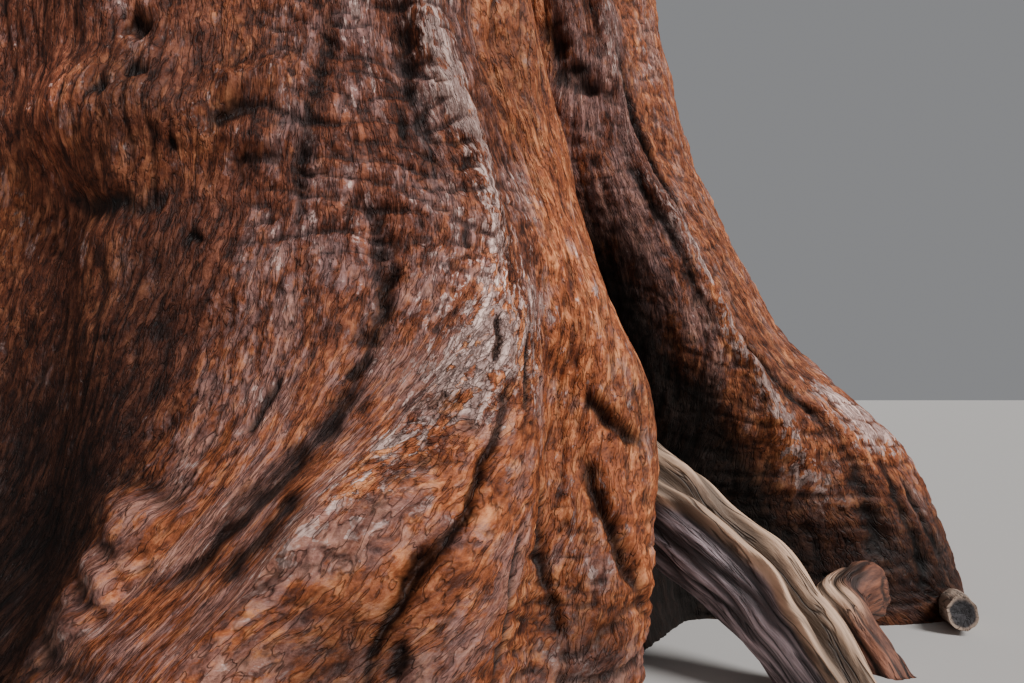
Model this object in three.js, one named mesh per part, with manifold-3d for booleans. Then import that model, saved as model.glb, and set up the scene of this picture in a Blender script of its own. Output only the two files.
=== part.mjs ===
// Giant sequoia tree: a fluted, buttressed trunk with a cave and a bare root at its foot,
// boughs that rise into rounded clumps of foliage, and a flat cut at ground level.
// Millimetres, +Z up. The origin is on the ground at the middle of the trunk's foot.
// The real tree is about 80 m tall, and every size here is half of the real one.
import * as THREE from 'three';
import { mergeVertices } from 'three/addons/utils/BufferGeometryUtils.js';
import Module from 'manifold-3d';

const wasm = await Module();
wasm.setup();

// Trunk: its mean section shrinks as a power of the height left, and flares at the foot
const HEIGHT = 40000;
const SHAFT_RADIUS = 1500;
const SHAFT_POWER = 0.66;
const FLARE = 500;
const FLARE_HEIGHT = 1500;
const TRUNK_TOP = 39300;
const TIP_RADIUS = 40;
// The trunk's middle wanders sideways by these amounts on its way up
const LEAN_X = 300;
const LEAN_X_TURN = 2.4;
const LEAN_Y = 220;
const LEAN_Y_TURN = 3;
// A buttress stands out of a surface sunk this far, and meets its neighbours with this rounding
const SINK = 300;
const SINK_FULL_RADIUS = 2000;
const BLEND = 60;
const TRUNK_ROWS = 26;
const TRUNK_COLUMNS = 56;
const SECTION_STEPS = 720;
// Rows lie closer together towards the ground
const EVEN_ROWS = 0.15;
const ROW_POWER = 2.6;
// The side with the cave and the bare root gets closer columns
const FINE_AZIMUTH = -50;
const FINE_HALF_WIDTH = 62;
const FINE_WEIGHT = 2.2;

// Each row: height, azimuth, half width (degrees), reach beyond the mean section
const BUTTRESSES = {
  right: [
    [0, -9, 10.5, 860], [330, -9.5, 10.6, 870], [620, -10.5, 12, 810], [870, -11.8, 13.2, 630],
    [1100, -12.5, 15, 460], [1630, -13, 15, 290], [2300, -14, 15, 170], [4000, -13, 14, 80],
    [8000, -12, 14, 0],
  ],
  strand: [
    [0, -13.5, 5.5, 560], [300, -14.5, 5.7, 560], [500, -16.2, 6, 500], [780, -19.3, 6.6, 420],
    [1100, -23.6, 7, 300], [1620, -29.5, 8, 190], [2150, -33.5, 8, 140], [3200, -38, 8, 80],
    [7000, -42, 8, 0],
  ],
  strip: [
    [0, -53, 9, 120], [200, -49.5, 9, 170], [450, -46, 9, 190], [650, -42.5, 9, 190], [830, -42, 9, 180],
    [1020, -44.7, 9, 150], [1500, -47, 8.5, 120], [1930, -50, 8, 110], [3000, -54, 8, 70],
    [7000, -58, 8, 0],
  ],
  middle: [
    [0, -68, 21, 180], [400, -67.5, 19, 200], [800, -63.5, 18.5, 170], [1200, -61.5, 20, 110],
    [1900, -58.5, 16, 80], [3000, -57, 14, 60], [8000, -57, 12, 0],
  ],
  crest: [
    [0, -66, 9, 220], [400, -62, 9, 250], [790, -58, 9, 220], [1190, -56, 8, 150],
    [1880, -59, 7, 120], [3000, -62, 7, 80], [7000, -66, 7, 0],
  ],
  sweep: [
    [0, -84, 9, 120], [300, -79, 9, 140], [440, -76.5, 9, 170], [600, -73.5, 9.5, 200],
    [790, -68, 10, 170], [1000, -62, 9, 120], [1300, -60, 8, 20], [2000, -60, 8, 0],
  ],
  left: [
    [0, -140, 21, 740], [600, -139, 20, 620], [1200, -138, 19, 400], [2200, -137, 17, 200],
    [4000, -136, 15, 80], [8000, -135, 14, 0],
  ],
  backLeft: [
    [0, -178, 18, 600], [600, -178, 17, 460], [1200, -179, 16, 260], [2200, -180, 15, 120],
    [5000, -181, 14, 0],
  ],
  back: [
    [0, 143, 20, 840], [700, 143, 19, 700], [1300, 144, 18, 460], [2400, 145, 16, 220],
    [4500, 146, 14, 80], [9000, 147, 14, 0],
  ],
  backLow: [[0, 112, 13, 440], [500, 112, 12, 320], [1100, 112, 11, 140], [2500, 112, 10, 0]],
  far: [
    [0, 80, 19, 700], [600, 79, 18, 560], [1200, 78, 17, 340], [2300, 77, 15, 160],
    [5000, 76, 14, 40], [8000, 76, 14, 0],
  ],
  farRight: [
    [0, 35, 20, 680], [600, 35, 19, 550], [1200, 36, 17, 320], [2300, 37, 15, 150],
    [5000, 38, 14, 40], [8000, 38, 14, 0],
  ],
};

// Each row: height, azimuth, half width (degrees), depth
const HOLLOWS = {
  cave: [
    [0, -33, 12, 800], [500, -33.5, 11, 760], [750, -34, 10, 620], [1000, -35, 9, 400],
    [1300, -38, 8, 300], [1900, -42, 7, 240], [3000, -46, 7, 160], [6000, -50, 7, 0],
  ],
  alcove: [
    [0, -107, 18.5, 600], [900, -107.5, 19, 560], [1250, -107, 18, 420], [1450, -107, 17, 200],
    [2200, -106, 15, 140], [6000, -105, 14, 0],
  ],
};
const HOLLOW_EDGE = 1.1;

// Each lump: azimuth, height, half width, half height, how far it stands out
const LUMPS = [[-86, 1500, 340, 130, 100], [-38, 300, 120, 120, 60], [-20, 720, 160, 140, 30]];

// Roots at the cave: each point is x, y, z and the radius there
const ROOT_SIDES = 9;
const ROOT_STEPS = 8;
const ROOT_SQUASH = 0.82;
const BARE_ROOT = [
  [1180, -800, 790, 140], [1380, -1000, 605, 165], [1540, -1135, 465, 168],
  [1765, -1285, 265, 150], [1850, -1360, 155, 146], [1915, -1415, 50, 140],
  [1965, -1455, -60, 130],
];
const KNEE_ROOT = [
  [2380, -660, 120, 70], [2310, -840, 140, 80], [2235, -930, 160, 94],
  [2160, -985, 125, 90], [2165, -1085, 50, 86], [2220, -1250, -100, 75],
];
const CUT_STUB = [[2720, -550, 30, 60], [2670, -700, 55, 60], [2617, -850, 75, 57]];
const STUB_SIDES = 7;
// What would reach below the ground is cut off by a block of this size
const BELOW_WIDTH = 8000;
const BELOW_DEPTH = 2000;

// Crown: each row gives a height and how far the crown reaches there
const CROWN = [
  [12500, 5500], [16000, 6700], [21000, 6900], [27000, 6200], [32500, 5000], [36500, 3700],
  [40000, 2200],
];
const PLAN_SEED = 1000;
const GROWTH_SEED = 5000;
const MASSES = 28;
const TRUNK_MASSES = 5;
const LOWEST_MASS = 13400;
const HIGHEST_MASS = 36200;
const TOP_MASS = 38200;
const HEIGHT_POWER = 0.86;
const GOLDEN_ANGLE = 137.5;
const FIRST_AZIMUTH = 20;
const AZIMUTH_JITTER = 7;
// A clump is this deep towards the trunk, and wider round it than it is deep or tall
const MASS_DEPTH_BASE = 420;
const MASS_DEPTH_SHARE = 0.285;
const MASS_WIDE_SHARE = 1.44;
const MASS_TALL_SHARE = 0.92;
const TOP_MASS_SIZE = 1800;
const SIZE_JITTER = 0.07;
const REACH_JITTER = 0.06;
// Two spaces keep this much between them, as a share of their sizes
const SPACE_GAP = 1.01;
const FITTING_ROUNDS = 6;

// Boughs leave the trunk nearly level and turn up into their clumps
const BOUGH_SIDES = 7;
const BOUGH_STEPS = 6;
const BOUGH_RADIUS_BASE = 60;
const BOUGH_RADIUS_SHARE = 0.05;
const BOUGH_TIP_SHARE = 0.42;
// Each bough swells where it leaves the trunk
const BOUGH_COLLAR = 0.45;
const BOUGH_COLLAR_AT = 0.2;
const BOUGH_COLLAR_LENGTH = 0.1;
const BOUGH_RISE_SHARE = 0.2;
const BOUGH_SAG = 0.09;
const BOUGH_SAG_AT = 0.5;
const ENTRY_ELEVATION = 42;
const ENTRY_PULL = 0.38;
const CLEARANCE = 0.3;
// How closely the limbs are sampled where foliage has to keep clear of them
const TEST_STEP = 250;
const TESTS_PER_BOUGH = 16;

// Foliage: twigs branch from one stem, and toothed blades of needles stand on them
const TWIGS = 5;
const SPRAYS = 2;
const STEM_SHARE = 1.05;
const STEM_SIDES = 5;
const STEM_TAPER = 0.5;
const CORE_SHARE = 0.8;
const CORE_ROUGHNESS = 0.17;
const CORE_FLATNESS = 0.15;
const TWIG_REACH = 0.82;
const TWIG_RADIUS = 42;
const TWIG_TAPER = 0.55;
const TWIG_SIDES = 3;
const TWIG_FOOT = 0.75;
const TWIG_FOOT_SPREAD = 0.3;
const TRUNK_STEM_RADIUS = 70;
const TRUNK_STEM_DROP = 0.5;
const SPRAY_REACH = 0.97;
const SPRAY_REACH_SPREAD = 0.1;
const SPRAY_LEAN = 0.37;
const SPRAY_LEAN_SPREAD = 0.37;
const SPRAY_DEPTH = 0.5;
const SPRAY_DEPTH_SHARE = 0.6;
const SPRAY_WIDTH = 0.62;
const SPRAY_THICKNESS = 0.1;
const SPRAY_ROOT = 0.62;
// Half of a blade's outline, as shares of its length and width
const BLADE_EDGE = [[0.4, 0.5], [0.6, 0.2]];
const BLADE_MIDDLE = 0.45;

const BARK = { color: 0x8a4a2c, roughness: 0.85, metalness: 0 };
const WOOD = { color: 0x8d7f68, roughness: 0.8, metalness: 0 };
const KNOT = { color: 0x9a6a48, roughness: 0.8, metalness: 0 };
const LEAF = { color: 0x4d6b34, roughness: 0.75, metalness: 0 };

const { degToRad, clamp, lerp } = THREE.MathUtils;
const UP = new THREE.Vector3(0, 0, 1);

// Random numbers

function seeded(seed) {
  let state = seed >>> 0;
  return () => {
    state = (state + 0x6d2b79f5) >>> 0;
    let t = state;
    t = Math.imul(t ^ (t >>> 15), t | 1);
    t ^= t + Math.imul(t ^ (t >>> 7), t | 61);
    return ((t ^ (t >>> 14)) >>> 0) / 4294967296;
  };
}

// Tables read along their first column

function slopes(rows) {
  const last = rows.length - 1;
  return rows.map((row, i) => {
    if (i === last) return row.map(() => 0);
    const before = rows[Math.max(i - 1, 0)];
    const after = rows[i + 1];
    return row.map((_, k) => (after[k] - before[k]) / (after[0] - before[0]));
  });
}

function reader(rows) {
  const slope = slopes(rows);
  const last = rows.length - 1;
  return (z) => {
    const at = clamp(z, rows[0][0], rows[last][0]);
    let i = 0;
    while (i < last - 1 && at >= rows[i + 1][0]) i += 1;
    const h = rows[i + 1][0] - rows[i][0];
    const u = (at - rows[i][0]) / h;
    const wa = 2 * u ** 3 - 3 * u ** 2 + 1;
    const wb = 1 - wa;
    const sa = (u ** 3 - 2 * u ** 2 + u) * h;
    const sb = (u ** 3 - u ** 2) * h;
    return rows[i].map((a, k) => wa * a + sa * slope[i][k] + wb * rows[i + 1][k] + sb * slope[i + 1][k]);
  };
}

const buttresses = Object.values(BUTTRESSES).map(reader);
const hollows = Object.values(HOLLOWS).map(reader);
const crownReach = reader(CROWN);

// Trunk

function turn(angle) {
  return Math.atan2(Math.sin(angle), Math.cos(angle));
}

function meanRadius(z) {
  const left = clamp(1 - z / HEIGHT, 0, 1);
  return Math.max(TIP_RADIUS, SHAFT_RADIUS * left ** SHAFT_POWER + FLARE * Math.exp(-z / FLARE_HEIGHT));
}

function roundMax(a, b) {
  return 0.5 * (a + b + Math.hypot(a - b, BLEND * Math.min(1, a / SHAFT_RADIUS)));
}

function sectionAt(z) {
  const mean = meanRadius(z);
  const sink = SINK * Math.min(1, mean / SINK_FULL_RADIUS);
  const cuts = hollows.map((read) => read(z));
  const lobes = buttresses.map((read) => read(z));
  return (theta) => {
    let r = mean;
    for (const [, azimuth, half, depth] of cuts) {
      const d = turn(theta - degToRad(azimuth)) / degToRad(half);
      r -= depth * Math.exp(-HOLLOW_EDGE * d ** 4);
    }
    for (const [, azimuth, half, reach] of lobes) {
      const d = turn(theta - degToRad(azimuth)) / degToRad(half);
      r = roundMax(r, mean - sink + (reach + sink) * Math.sqrt(Math.max(0, 1 - d * d)));
    }
    for (const [azimuth, height, half, tall, out] of LUMPS) {
      const d = (turn(theta - degToRad(azimuth)) * mean) / half;
      const e = (z - height) / tall;
      r += out * Math.exp(-(d * d + e * e));
    }
    return r;
  };
}

function trunkMiddle(z) {
  const share = z / HEIGHT;
  return new THREE.Vector3(
    LEAN_X * Math.sin(LEAN_X_TURN * share) * share,
    LEAN_Y * (1 - Math.cos(LEAN_Y_TURN * share)) * share,
    z,
  );
}

function columnWeight(theta) {
  return Math.abs(turn(theta - degToRad(FINE_AZIMUTH))) < degToRad(FINE_HALF_WIDTH) ? FINE_WEIGHT : 1;
}

// Angles that share the section's weighted length evenly
function columnAngles(radiusAt) {
  const step = (2 * Math.PI) / SECTION_STEPS;
  const sums = [0];
  for (let i = 0; i < SECTION_STEPS; i += 1) {
    const a = -Math.PI + i * step;
    const r0 = radiusAt(a);
    const r1 = radiusAt(a + step);
    const length = Math.sqrt(r0 * r0 + r1 * r1 - 2 * r0 * r1 * Math.cos(step));
    sums.push(sums[i] + length * columnWeight(a + step / 2));
  }
  const angles = [];
  let i = 0;
  for (let c = 0; c < TRUNK_COLUMNS; c += 1) {
    const target = (sums[SECTION_STEPS] * c) / TRUNK_COLUMNS;
    while (sums[i + 1] < target) i += 1;
    angles.push(-Math.PI + step * (i + (target - sums[i]) / (sums[i + 1] - sums[i])));
  }
  return angles;
}

function rowHeight(share) {
  return TRUNK_TOP * (EVEN_ROWS * share + (1 - EVEN_ROWS) * share ** ROW_POWER);
}

// A closed cylinder whose points are moved by place(row, column, onRim)
function shapedCylinder(columns, rows, place) {
  const geometry = new THREE.CylinderGeometry(1, 1, 1, columns, rows);
  const position = geometry.attributes.position;
  for (let i = 0; i < position.count; i += 1) {
    const x = position.getX(i);
    const z = position.getZ(i);
    const row = Math.round((position.getY(i) + 0.5) * rows);
    const column = Math.round((Math.atan2(x, z) / (2 * Math.PI)) * columns + columns) % columns;
    const point = place(row, column, Math.hypot(x, z) > 0.5);
    position.setXYZ(i, point.x, point.y, point.z);
  }
  return geometry;
}

function trunkGeometry(grow) {
  const sections = [];
  for (let row = 0; row <= TRUNK_ROWS; row += 1) {
    const z = rowHeight(row / TRUNK_ROWS);
    const radiusAt = sectionAt(z);
    const angles = columnAngles(radiusAt);
    sections.push({ middle: trunkMiddle(z), angles, radii: angles.map(radiusAt) });
  }
  return shapedCylinder(TRUNK_COLUMNS, TRUNK_ROWS, (row, column, onRim) => {
    const { middle, angles, radii } = sections[row];
    if (!onRim) return middle;
    const r = radii[column] + grow;
    return new THREE.Vector3(r * Math.cos(angles[column]), r * Math.sin(angles[column]), 0).add(middle);
  });
}

// Limbs: tubes that follow a curve and taper

function limbGeometry(curve, radiusAt, sides, steps, squash = 1) {
  const frames = curve.computeFrenetFrames(steps, false);
  return shapedCylinder(sides, steps, (row, column, onRim) => {
    const t = row / steps;
    const point = curve.getPointAt(t);
    if (!onRim) return point;
    const angle = (2 * Math.PI * column) / sides;
    const r = radiusAt(t);
    return point
      .addScaledVector(frames.normals[row], r * Math.cos(angle))
      .addScaledVector(frames.binormals[row], r * squash * Math.sin(angle));
  });
}

function rootGeometry(points, sides) {
  const curve = new THREE.CatmullRomCurve3(points.map(([x, y, z]) => new THREE.Vector3(x, y, z)));
  const radii = points.map((point) => point[3]);
  const radiusAt = (t) => {
    const s = t * (radii.length - 1);
    const i = Math.min(Math.floor(s), radii.length - 2);
    return lerp(radii[i], radii[i + 1], s - i);
  };
  return limbGeometry(curve, radiusAt, sides, ROOT_STEPS, ROOT_SQUASH);
}

// Solids

function solidOf(geometry) {
  const bare = geometry.clone();
  bare.deleteAttribute('normal');
  bare.deleteAttribute('uv');
  const merged = mergeVertices(bare, 1e-3);
  let solid = new wasm.Manifold(new wasm.Mesh({
    numProp: 3,
    vertProperties: new Float32Array(merged.attributes.position.array),
    triVerts: new Uint32Array(merged.index.array),
  }));
  if (solid.volume() < 0) {
    merged.index.array.reverse();
    solid = new wasm.Manifold(new wasm.Mesh({
      numProp: 3,
      vertProperties: new Float32Array(merged.attributes.position.array),
      triVerts: new Uint32Array(merged.index.array),
    }));
  }
  return solid;
}

// The largest piece alone: loose scraps are dropped and sealed hollows are filled
function largest(solid) {
  const pieces = solid.decompose();
  return pieces.reduce((best, piece) => (piece.volume() > best.volume() ? piece : best));
}

function meshOf(name, solid, look) {
  const { vertProperties, triVerts, numProp } = solid.getMesh();
  const points = [];
  for (let i = 0; i < vertProperties.length; i += numProp) {
    points.push(vertProperties[i], vertProperties[i + 1], vertProperties[i + 2]);
  }
  const geometry = new THREE.BufferGeometry();
  geometry.setAttribute('position', new THREE.Float32BufferAttribute(points, 3));
  geometry.setIndex(Array.from(triVerts));
  geometry.computeVertexNormals();
  const mesh = new THREE.Mesh(geometry, new THREE.MeshStandardMaterial(look));
  mesh.name = name;
  return mesh;
}

// Crown plan: where each clump of foliage sits, and the bough that carries it

function outward(azimuth, elevation = 0) {
  const flat = Math.cos(elevation);
  return new THREE.Vector3(flat * Math.cos(azimuth), flat * Math.sin(azimuth), Math.sin(elevation));
}

function planMass(index) {
  const random = seeded(PLAN_SEED + index);
  const atTop = index === MASSES - 1;
  const share = (index / (MASSES - 2)) ** HEIGHT_POWER;
  const z = atTop ? TOP_MASS : lerp(LOWEST_MASS, HIGHEST_MASS, share);
  const azimuth = degToRad(FIRST_AZIMUTH + GOLDEN_ANGLE * index + AZIMUTH_JITTER * (2 * random() - 1));
  const reach = crownReach(z)[1] * (1 + REACH_JITTER * (2 * random() - 1));
  const size = (MASS_DEPTH_BASE + MASS_DEPTH_SHARE * reach) * (1 + SIZE_JITTER * (2 * random() - 1));
  const depth = atTop ? TOP_MASS_SIZE : size;
  const wide = atTop ? TOP_MASS_SIZE : size * MASS_WIDE_SHARE;
  const tall = Math.min(depth * MASS_TALL_SHARE, HEIGHT - z);
  const centre = outward(azimuth).multiplyScalar(atTop ? 0 : reach - depth).add(trunkMiddle(z));
  const radii = new THREE.Vector3(depth, wide, tall);
  return { index, azimuth, centre, radii, onTrunk: index >= MASSES - TRUNK_MASSES };
}

// A clump's space is an ellipsoid turned to face the trunk: unit ball to world, and back
function fromUnit(mass, unit) {
  return unit.clone().multiply(mass.radii).applyAxisAngle(UP, mass.azimuth).add(mass.centre);
}

function toUnit(mass, point, radii = mass.radii) {
  return point.clone().sub(mass.centre).applyAxisAngle(UP, -mass.azimuth).divide(radii);
}

// Spaces that meet shrink by the same share until they only touch
function fitSpaces(masses) {
  for (let round = 0; round < FITTING_ROUNDS; round += 1) {
    for (const one of masses) {
      for (const other of masses) {
        if (other.index <= one.index) continue;
        const sizes = one.radii.clone().add(other.radii).multiplyScalar(SPACE_GAP);
        const share = toUnit(one, other.centre, sizes).length();
        if (share < 1) {
          one.radii.multiplyScalar(share);
          other.radii.multiplyScalar(share);
        }
      }
    }
  }
  return masses;
}

function planBough(mass) {
  const tip = fromUnit(mass, outward(0, degToRad(ENTRY_ELEVATION)).negate());
  const entry = mass.centre.clone().sub(tip).normalize();
  const span = Math.hypot(tip.x, tip.y);
  const start = trunkMiddle(tip.z - BOUGH_RISE_SHARE * span);
  const length = tip.distanceTo(start);
  const leave = start.clone().lerp(tip, BOUGH_SAG_AT);
  leave.z -= BOUGH_SAG * length;
  const approach = tip.clone().addScaledVector(entry, -ENTRY_PULL * length);
  const curve = new THREE.CubicBezierCurve3(start, leave, approach, tip);
  const foot = BOUGH_RADIUS_BASE + BOUGH_RADIUS_SHARE * length;
  return { curve, foot, end: foot * BOUGH_TIP_SHARE };
}

function boughRadius(bough, t) {
  const beyond = Math.max(0, t - BOUGH_COLLAR_AT) / BOUGH_COLLAR_LENGTH;
  const collar = 1 + BOUGH_COLLAR * Math.exp(-(beyond ** 2));
  return lerp(bough.foot, bough.end, t) * lerp(collar, 1, t);
}

function boughGeometry(bough) {
  return limbGeometry(bough.curve, (t) => boughRadius(bough, t), BOUGH_SIDES, BOUGH_STEPS);
}

// Points down the middle of every limb, with the radius there
function limbPoints(boughs) {
  const points = [];
  for (let z = LOWEST_MASS / 2; z <= HEIGHT; z += TEST_STEP) {
    points.push({ point: trunkMiddle(z), radius: meanRadius(z) });
  }
  for (const bough of boughs) {
    for (let i = 0; i <= TESTS_PER_BOUGH; i += 1) {
      const t = i / TESTS_PER_BOUGH;
      points.push({ point: bough.curve.getPointAt(t), radius: boughRadius(bough, t) });
    }
  }
  return points;
}

// Foliage

function insideSpace(mass, point) {
  return toUnit(mass, point).length() <= 1;
}

function clearOfLimbs(limbs, point, radius) {
  return limbs.every((limb) => limb.point.distanceTo(point) > limb.radius + radius + CLEARANCE);
}

function sideOf(direction, roll) {
  const helper = Math.abs(direction.z) > 0.9 ? new THREE.Vector3(1, 0, 0) : UP;
  return helper.clone().cross(direction).normalize().applyAxisAngle(direction, roll);
}

// Directions spread evenly over a ball, turned by a random yaw
function spread(count, random) {
  const yaw = 2 * Math.PI * random();
  const list = [];
  for (let i = 0; i < count; i += 1) {
    const z = 1 - (2 * (i + 0.5)) / count;
    const angle = yaw + degToRad(GOLDEN_ANGLE) * i;
    const flat = Math.sqrt(1 - z * z);
    list.push(new THREE.Vector3(flat * Math.cos(angle), flat * Math.sin(angle), z));
  }
  return list;
}

// A toothed blade: its outline lies in a plane, and it is thickest at its middle
function bladeGeometry(root, tip, width, thickness, side) {
  const along = tip.clone().sub(root);
  const normal = along.clone().cross(side).normalize();
  const half = [[0, 0], ...BLADE_EDGE, [1, 0]];
  const back = [...BLADE_EDGE].reverse().map(([a, b]) => [a, -b]);
  const outline = [...half, ...back];
  const edgePoint = ([a, b]) => root.clone().addScaledVector(along, a).addScaledVector(side, b * width);
  const points = outline.map(edgePoint);
  const middle = root.clone().addScaledVector(along, BLADE_MIDDLE);
  points.push(middle.clone().addScaledVector(normal, thickness / 2));
  points.push(middle.clone().addScaledVector(normal, -thickness / 2));
  const count = outline.length;
  const faces = [];
  for (let i = 0; i < count; i += 1) {
    const next = (i + 1) % count;
    faces.push(i, next, count, next, i, count + 1);
  }
  const geometry = new THREE.BufferGeometry().setFromPoints(points);
  geometry.setIndex(faces);
  return geometry;
}

function twigGeometry(from, to, radius) {
  return limbGeometry(new THREE.LineCurve3(from, to), (t) => radius * (1 - TWIG_TAPER * t), TWIG_SIDES, 1);
}

function coreGeometry(mass, random) {
  const geometry = new THREE.OctahedronGeometry(1, 1);
  geometry.deleteAttribute('uv');
  geometry.deleteAttribute('normal');
  const merged = mergeVertices(geometry, 1e-3);
  const position = merged.attributes.position;
  for (let i = 0; i < position.count; i += 1) {
    const out = CORE_SHARE * (1 + CORE_ROUGHNESS * (2 * random() - 1));
    const unit = new THREE.Vector3().fromBufferAttribute(position, i).multiplyScalar(out);
    unit.z *= unit.z < 0 ? 1 - CORE_FLATNESS : 1;
    const point = fromUnit(mass, unit);
    position.setXYZ(i, point.x, point.y, point.z);
  }
  return merged;
}

function sprayGeometries(mass, from, direction, random, limbs) {
  const sprays = [];
  for (let j = 0; j < SPRAYS; j += 1) {
    const roll = (2 * Math.PI * (j + random())) / SPRAYS;
    const lean = SPRAY_LEAN + SPRAY_LEAN_SPREAD * random();
    const aim = direction.clone().addScaledVector(sideOf(direction, roll), lean).normalize();
    const tip = fromUnit(mass, aim.clone().multiplyScalar(SPRAY_REACH - SPRAY_REACH_SPREAD * random()));
    const inside = fromUnit(mass, aim.clone().multiplyScalar(SPRAY_DEPTH));
    const root = from.clone().lerp(inside, SPRAY_DEPTH_SHARE);
    const length = tip.distanceTo(root);
    const side = sideOf(tip.clone().sub(root).normalize(), Math.PI * random());
    const width = SPRAY_WIDTH * length;
    const middle = root.clone().lerp(tip, SPRAY_ROOT);
    const fits = insideSpace(mass, tip) && insideSpace(mass, middle);
    if (fits && clearOfLimbs(limbs, tip, 0) && clearOfLimbs(limbs, middle, width / 2)) {
      sprays.push(bladeGeometry(root, tip, width, SPRAY_THICKNESS * length, side));
    }
  }
  return sprays;
}

// Every piece of one clump of foliage, before they are fused
function massGeometries(mass, foot, footRadius, limbs) {
  const random = seeded(GROWTH_SEED + mass.index);
  const end = foot.clone().lerp(mass.centre, STEM_SHARE);
  const stemRadius = (t) => footRadius * (1 - STEM_TAPER * t);
  const stem = limbGeometry(new THREE.LineCurve3(foot, end), stemRadius, STEM_SIDES, 1);
  const pieces = [stem, coreGeometry(mass, random)];
  for (const aim of spread(TWIGS, random)) {
    const tip = fromUnit(mass, aim.clone().multiplyScalar(TWIG_REACH));
    const root = foot.clone().lerp(mass.centre, TWIG_FOOT + TWIG_FOOT_SPREAD * random());
    if (clearOfLimbs(limbs, tip, TWIG_RADIUS)) {
      pieces.push(twigGeometry(root, tip, TWIG_RADIUS));
      pieces.push(...sprayGeometries(mass, root.clone().lerp(tip, SPRAY_ROOT), aim, random, limbs));
    }
  }
  return pieces;
}

// The tree

const tree = new THREE.Group();
tree.name = 'giant_sequoia_tree';

const trunk = solidOf(trunkGeometry(0));
const trunkRoom = solidOf(trunkGeometry(CLEARANCE));
const block = new THREE.BoxGeometry(BELOW_WIDTH, BELOW_WIDTH, BELOW_DEPTH);
const below = solidOf(block.translate(0, 0, -BELOW_DEPTH / 2));
tree.add(meshOf('trunk', trunk, BARK));

function addRoot(name, points, sides, look) {
  const solid = solidOf(rootGeometry(points, sides)).subtract(trunkRoom).subtract(below);
  tree.add(meshOf(name, largest(solid), look));
}

addRoot('bare_root', BARE_ROOT, ROOT_SIDES, WOOD);
addRoot('knee_root', KNEE_ROOT, ROOT_SIDES, KNOT);
addRoot('cut_stub', CUT_STUB, STUB_SIDES, WOOD);

const masses = fitSpaces(Array.from({ length: MASSES }, (_, index) => planMass(index)));
const carried = masses.filter((mass) => !mass.onTrunk);
const boughs = carried.map(planBough);
const limbs = limbPoints(boughs);

function twoDigits(index) {
  return String(index + 1).padStart(2, '0');
}

for (const [index, bough] of boughs.entries()) {
  const solid = largest(solidOf(boughGeometry(bough)).subtract(trunkRoom));
  tree.add(meshOf(`bough_${twoDigits(index)}`, solid, BARK));
}

for (const mass of masses) {
  const bough = boughs[mass.index];
  const inTrunk = trunkMiddle(mass.centre.z - TRUNK_STEM_DROP * mass.radii.z);
  const tip = bough ? bough.curve.getPointAt(1) : inTrunk;
  const foot = bough ? tip.addScaledVector(bough.curve.getTangentAt(1), CLEARANCE) : tip;
  const footRadius = bough ? bough.end : TRUNK_STEM_RADIUS;
  const pieces = massGeometries(mass, foot, footRadius, limbs).map(solidOf);
  const solid = pieces.reduce((all, piece) => all.add(piece)).subtract(trunkRoom);
  tree.add(meshOf(`foliage_${twoDigits(mass.index)}`, largest(solid), LEAF));
}

export default tree;
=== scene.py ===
import itertools
import math

import bpy
import numpy as np
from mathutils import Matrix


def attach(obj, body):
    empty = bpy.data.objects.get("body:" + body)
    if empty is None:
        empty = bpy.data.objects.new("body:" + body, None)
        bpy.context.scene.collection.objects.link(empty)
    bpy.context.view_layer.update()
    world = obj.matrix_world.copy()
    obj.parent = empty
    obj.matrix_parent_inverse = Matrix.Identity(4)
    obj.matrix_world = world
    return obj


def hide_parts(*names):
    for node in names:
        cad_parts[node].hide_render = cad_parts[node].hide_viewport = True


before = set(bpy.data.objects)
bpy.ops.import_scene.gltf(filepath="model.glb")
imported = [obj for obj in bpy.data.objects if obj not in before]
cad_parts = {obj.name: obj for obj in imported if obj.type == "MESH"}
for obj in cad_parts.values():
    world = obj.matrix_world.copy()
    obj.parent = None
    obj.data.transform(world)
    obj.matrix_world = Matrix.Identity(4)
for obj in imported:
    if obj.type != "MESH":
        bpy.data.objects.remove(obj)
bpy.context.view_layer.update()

# Giant sequoia tree, in metres and at half of the real size, +Z up, the origin on the ground
# at the middle of the trunk's foot. The trunk, the roots and the crown follow the same rules
# and the same tables as the solids, and are carried here to bark relief and to needles.

# Trunk: its mean section shrinks as a power of the height left, and flares at the foot
HEIGHT = 40.0
SHAFT_RADIUS = 1.5
SHAFT_POWER = 0.66
FLARE = 0.5
FLARE_HEIGHT = 1.5
TRUNK_TOP = 39.3
TIP_RADIUS = 0.04
LEAN_X = 0.3
LEAN_X_TURN = 2.4
LEAN_Y = 0.22
LEAN_Y_TURN = 3.0
SINK = 0.3
SINK_FULL_RADIUS = 2.0
BLEND = 0.06

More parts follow.
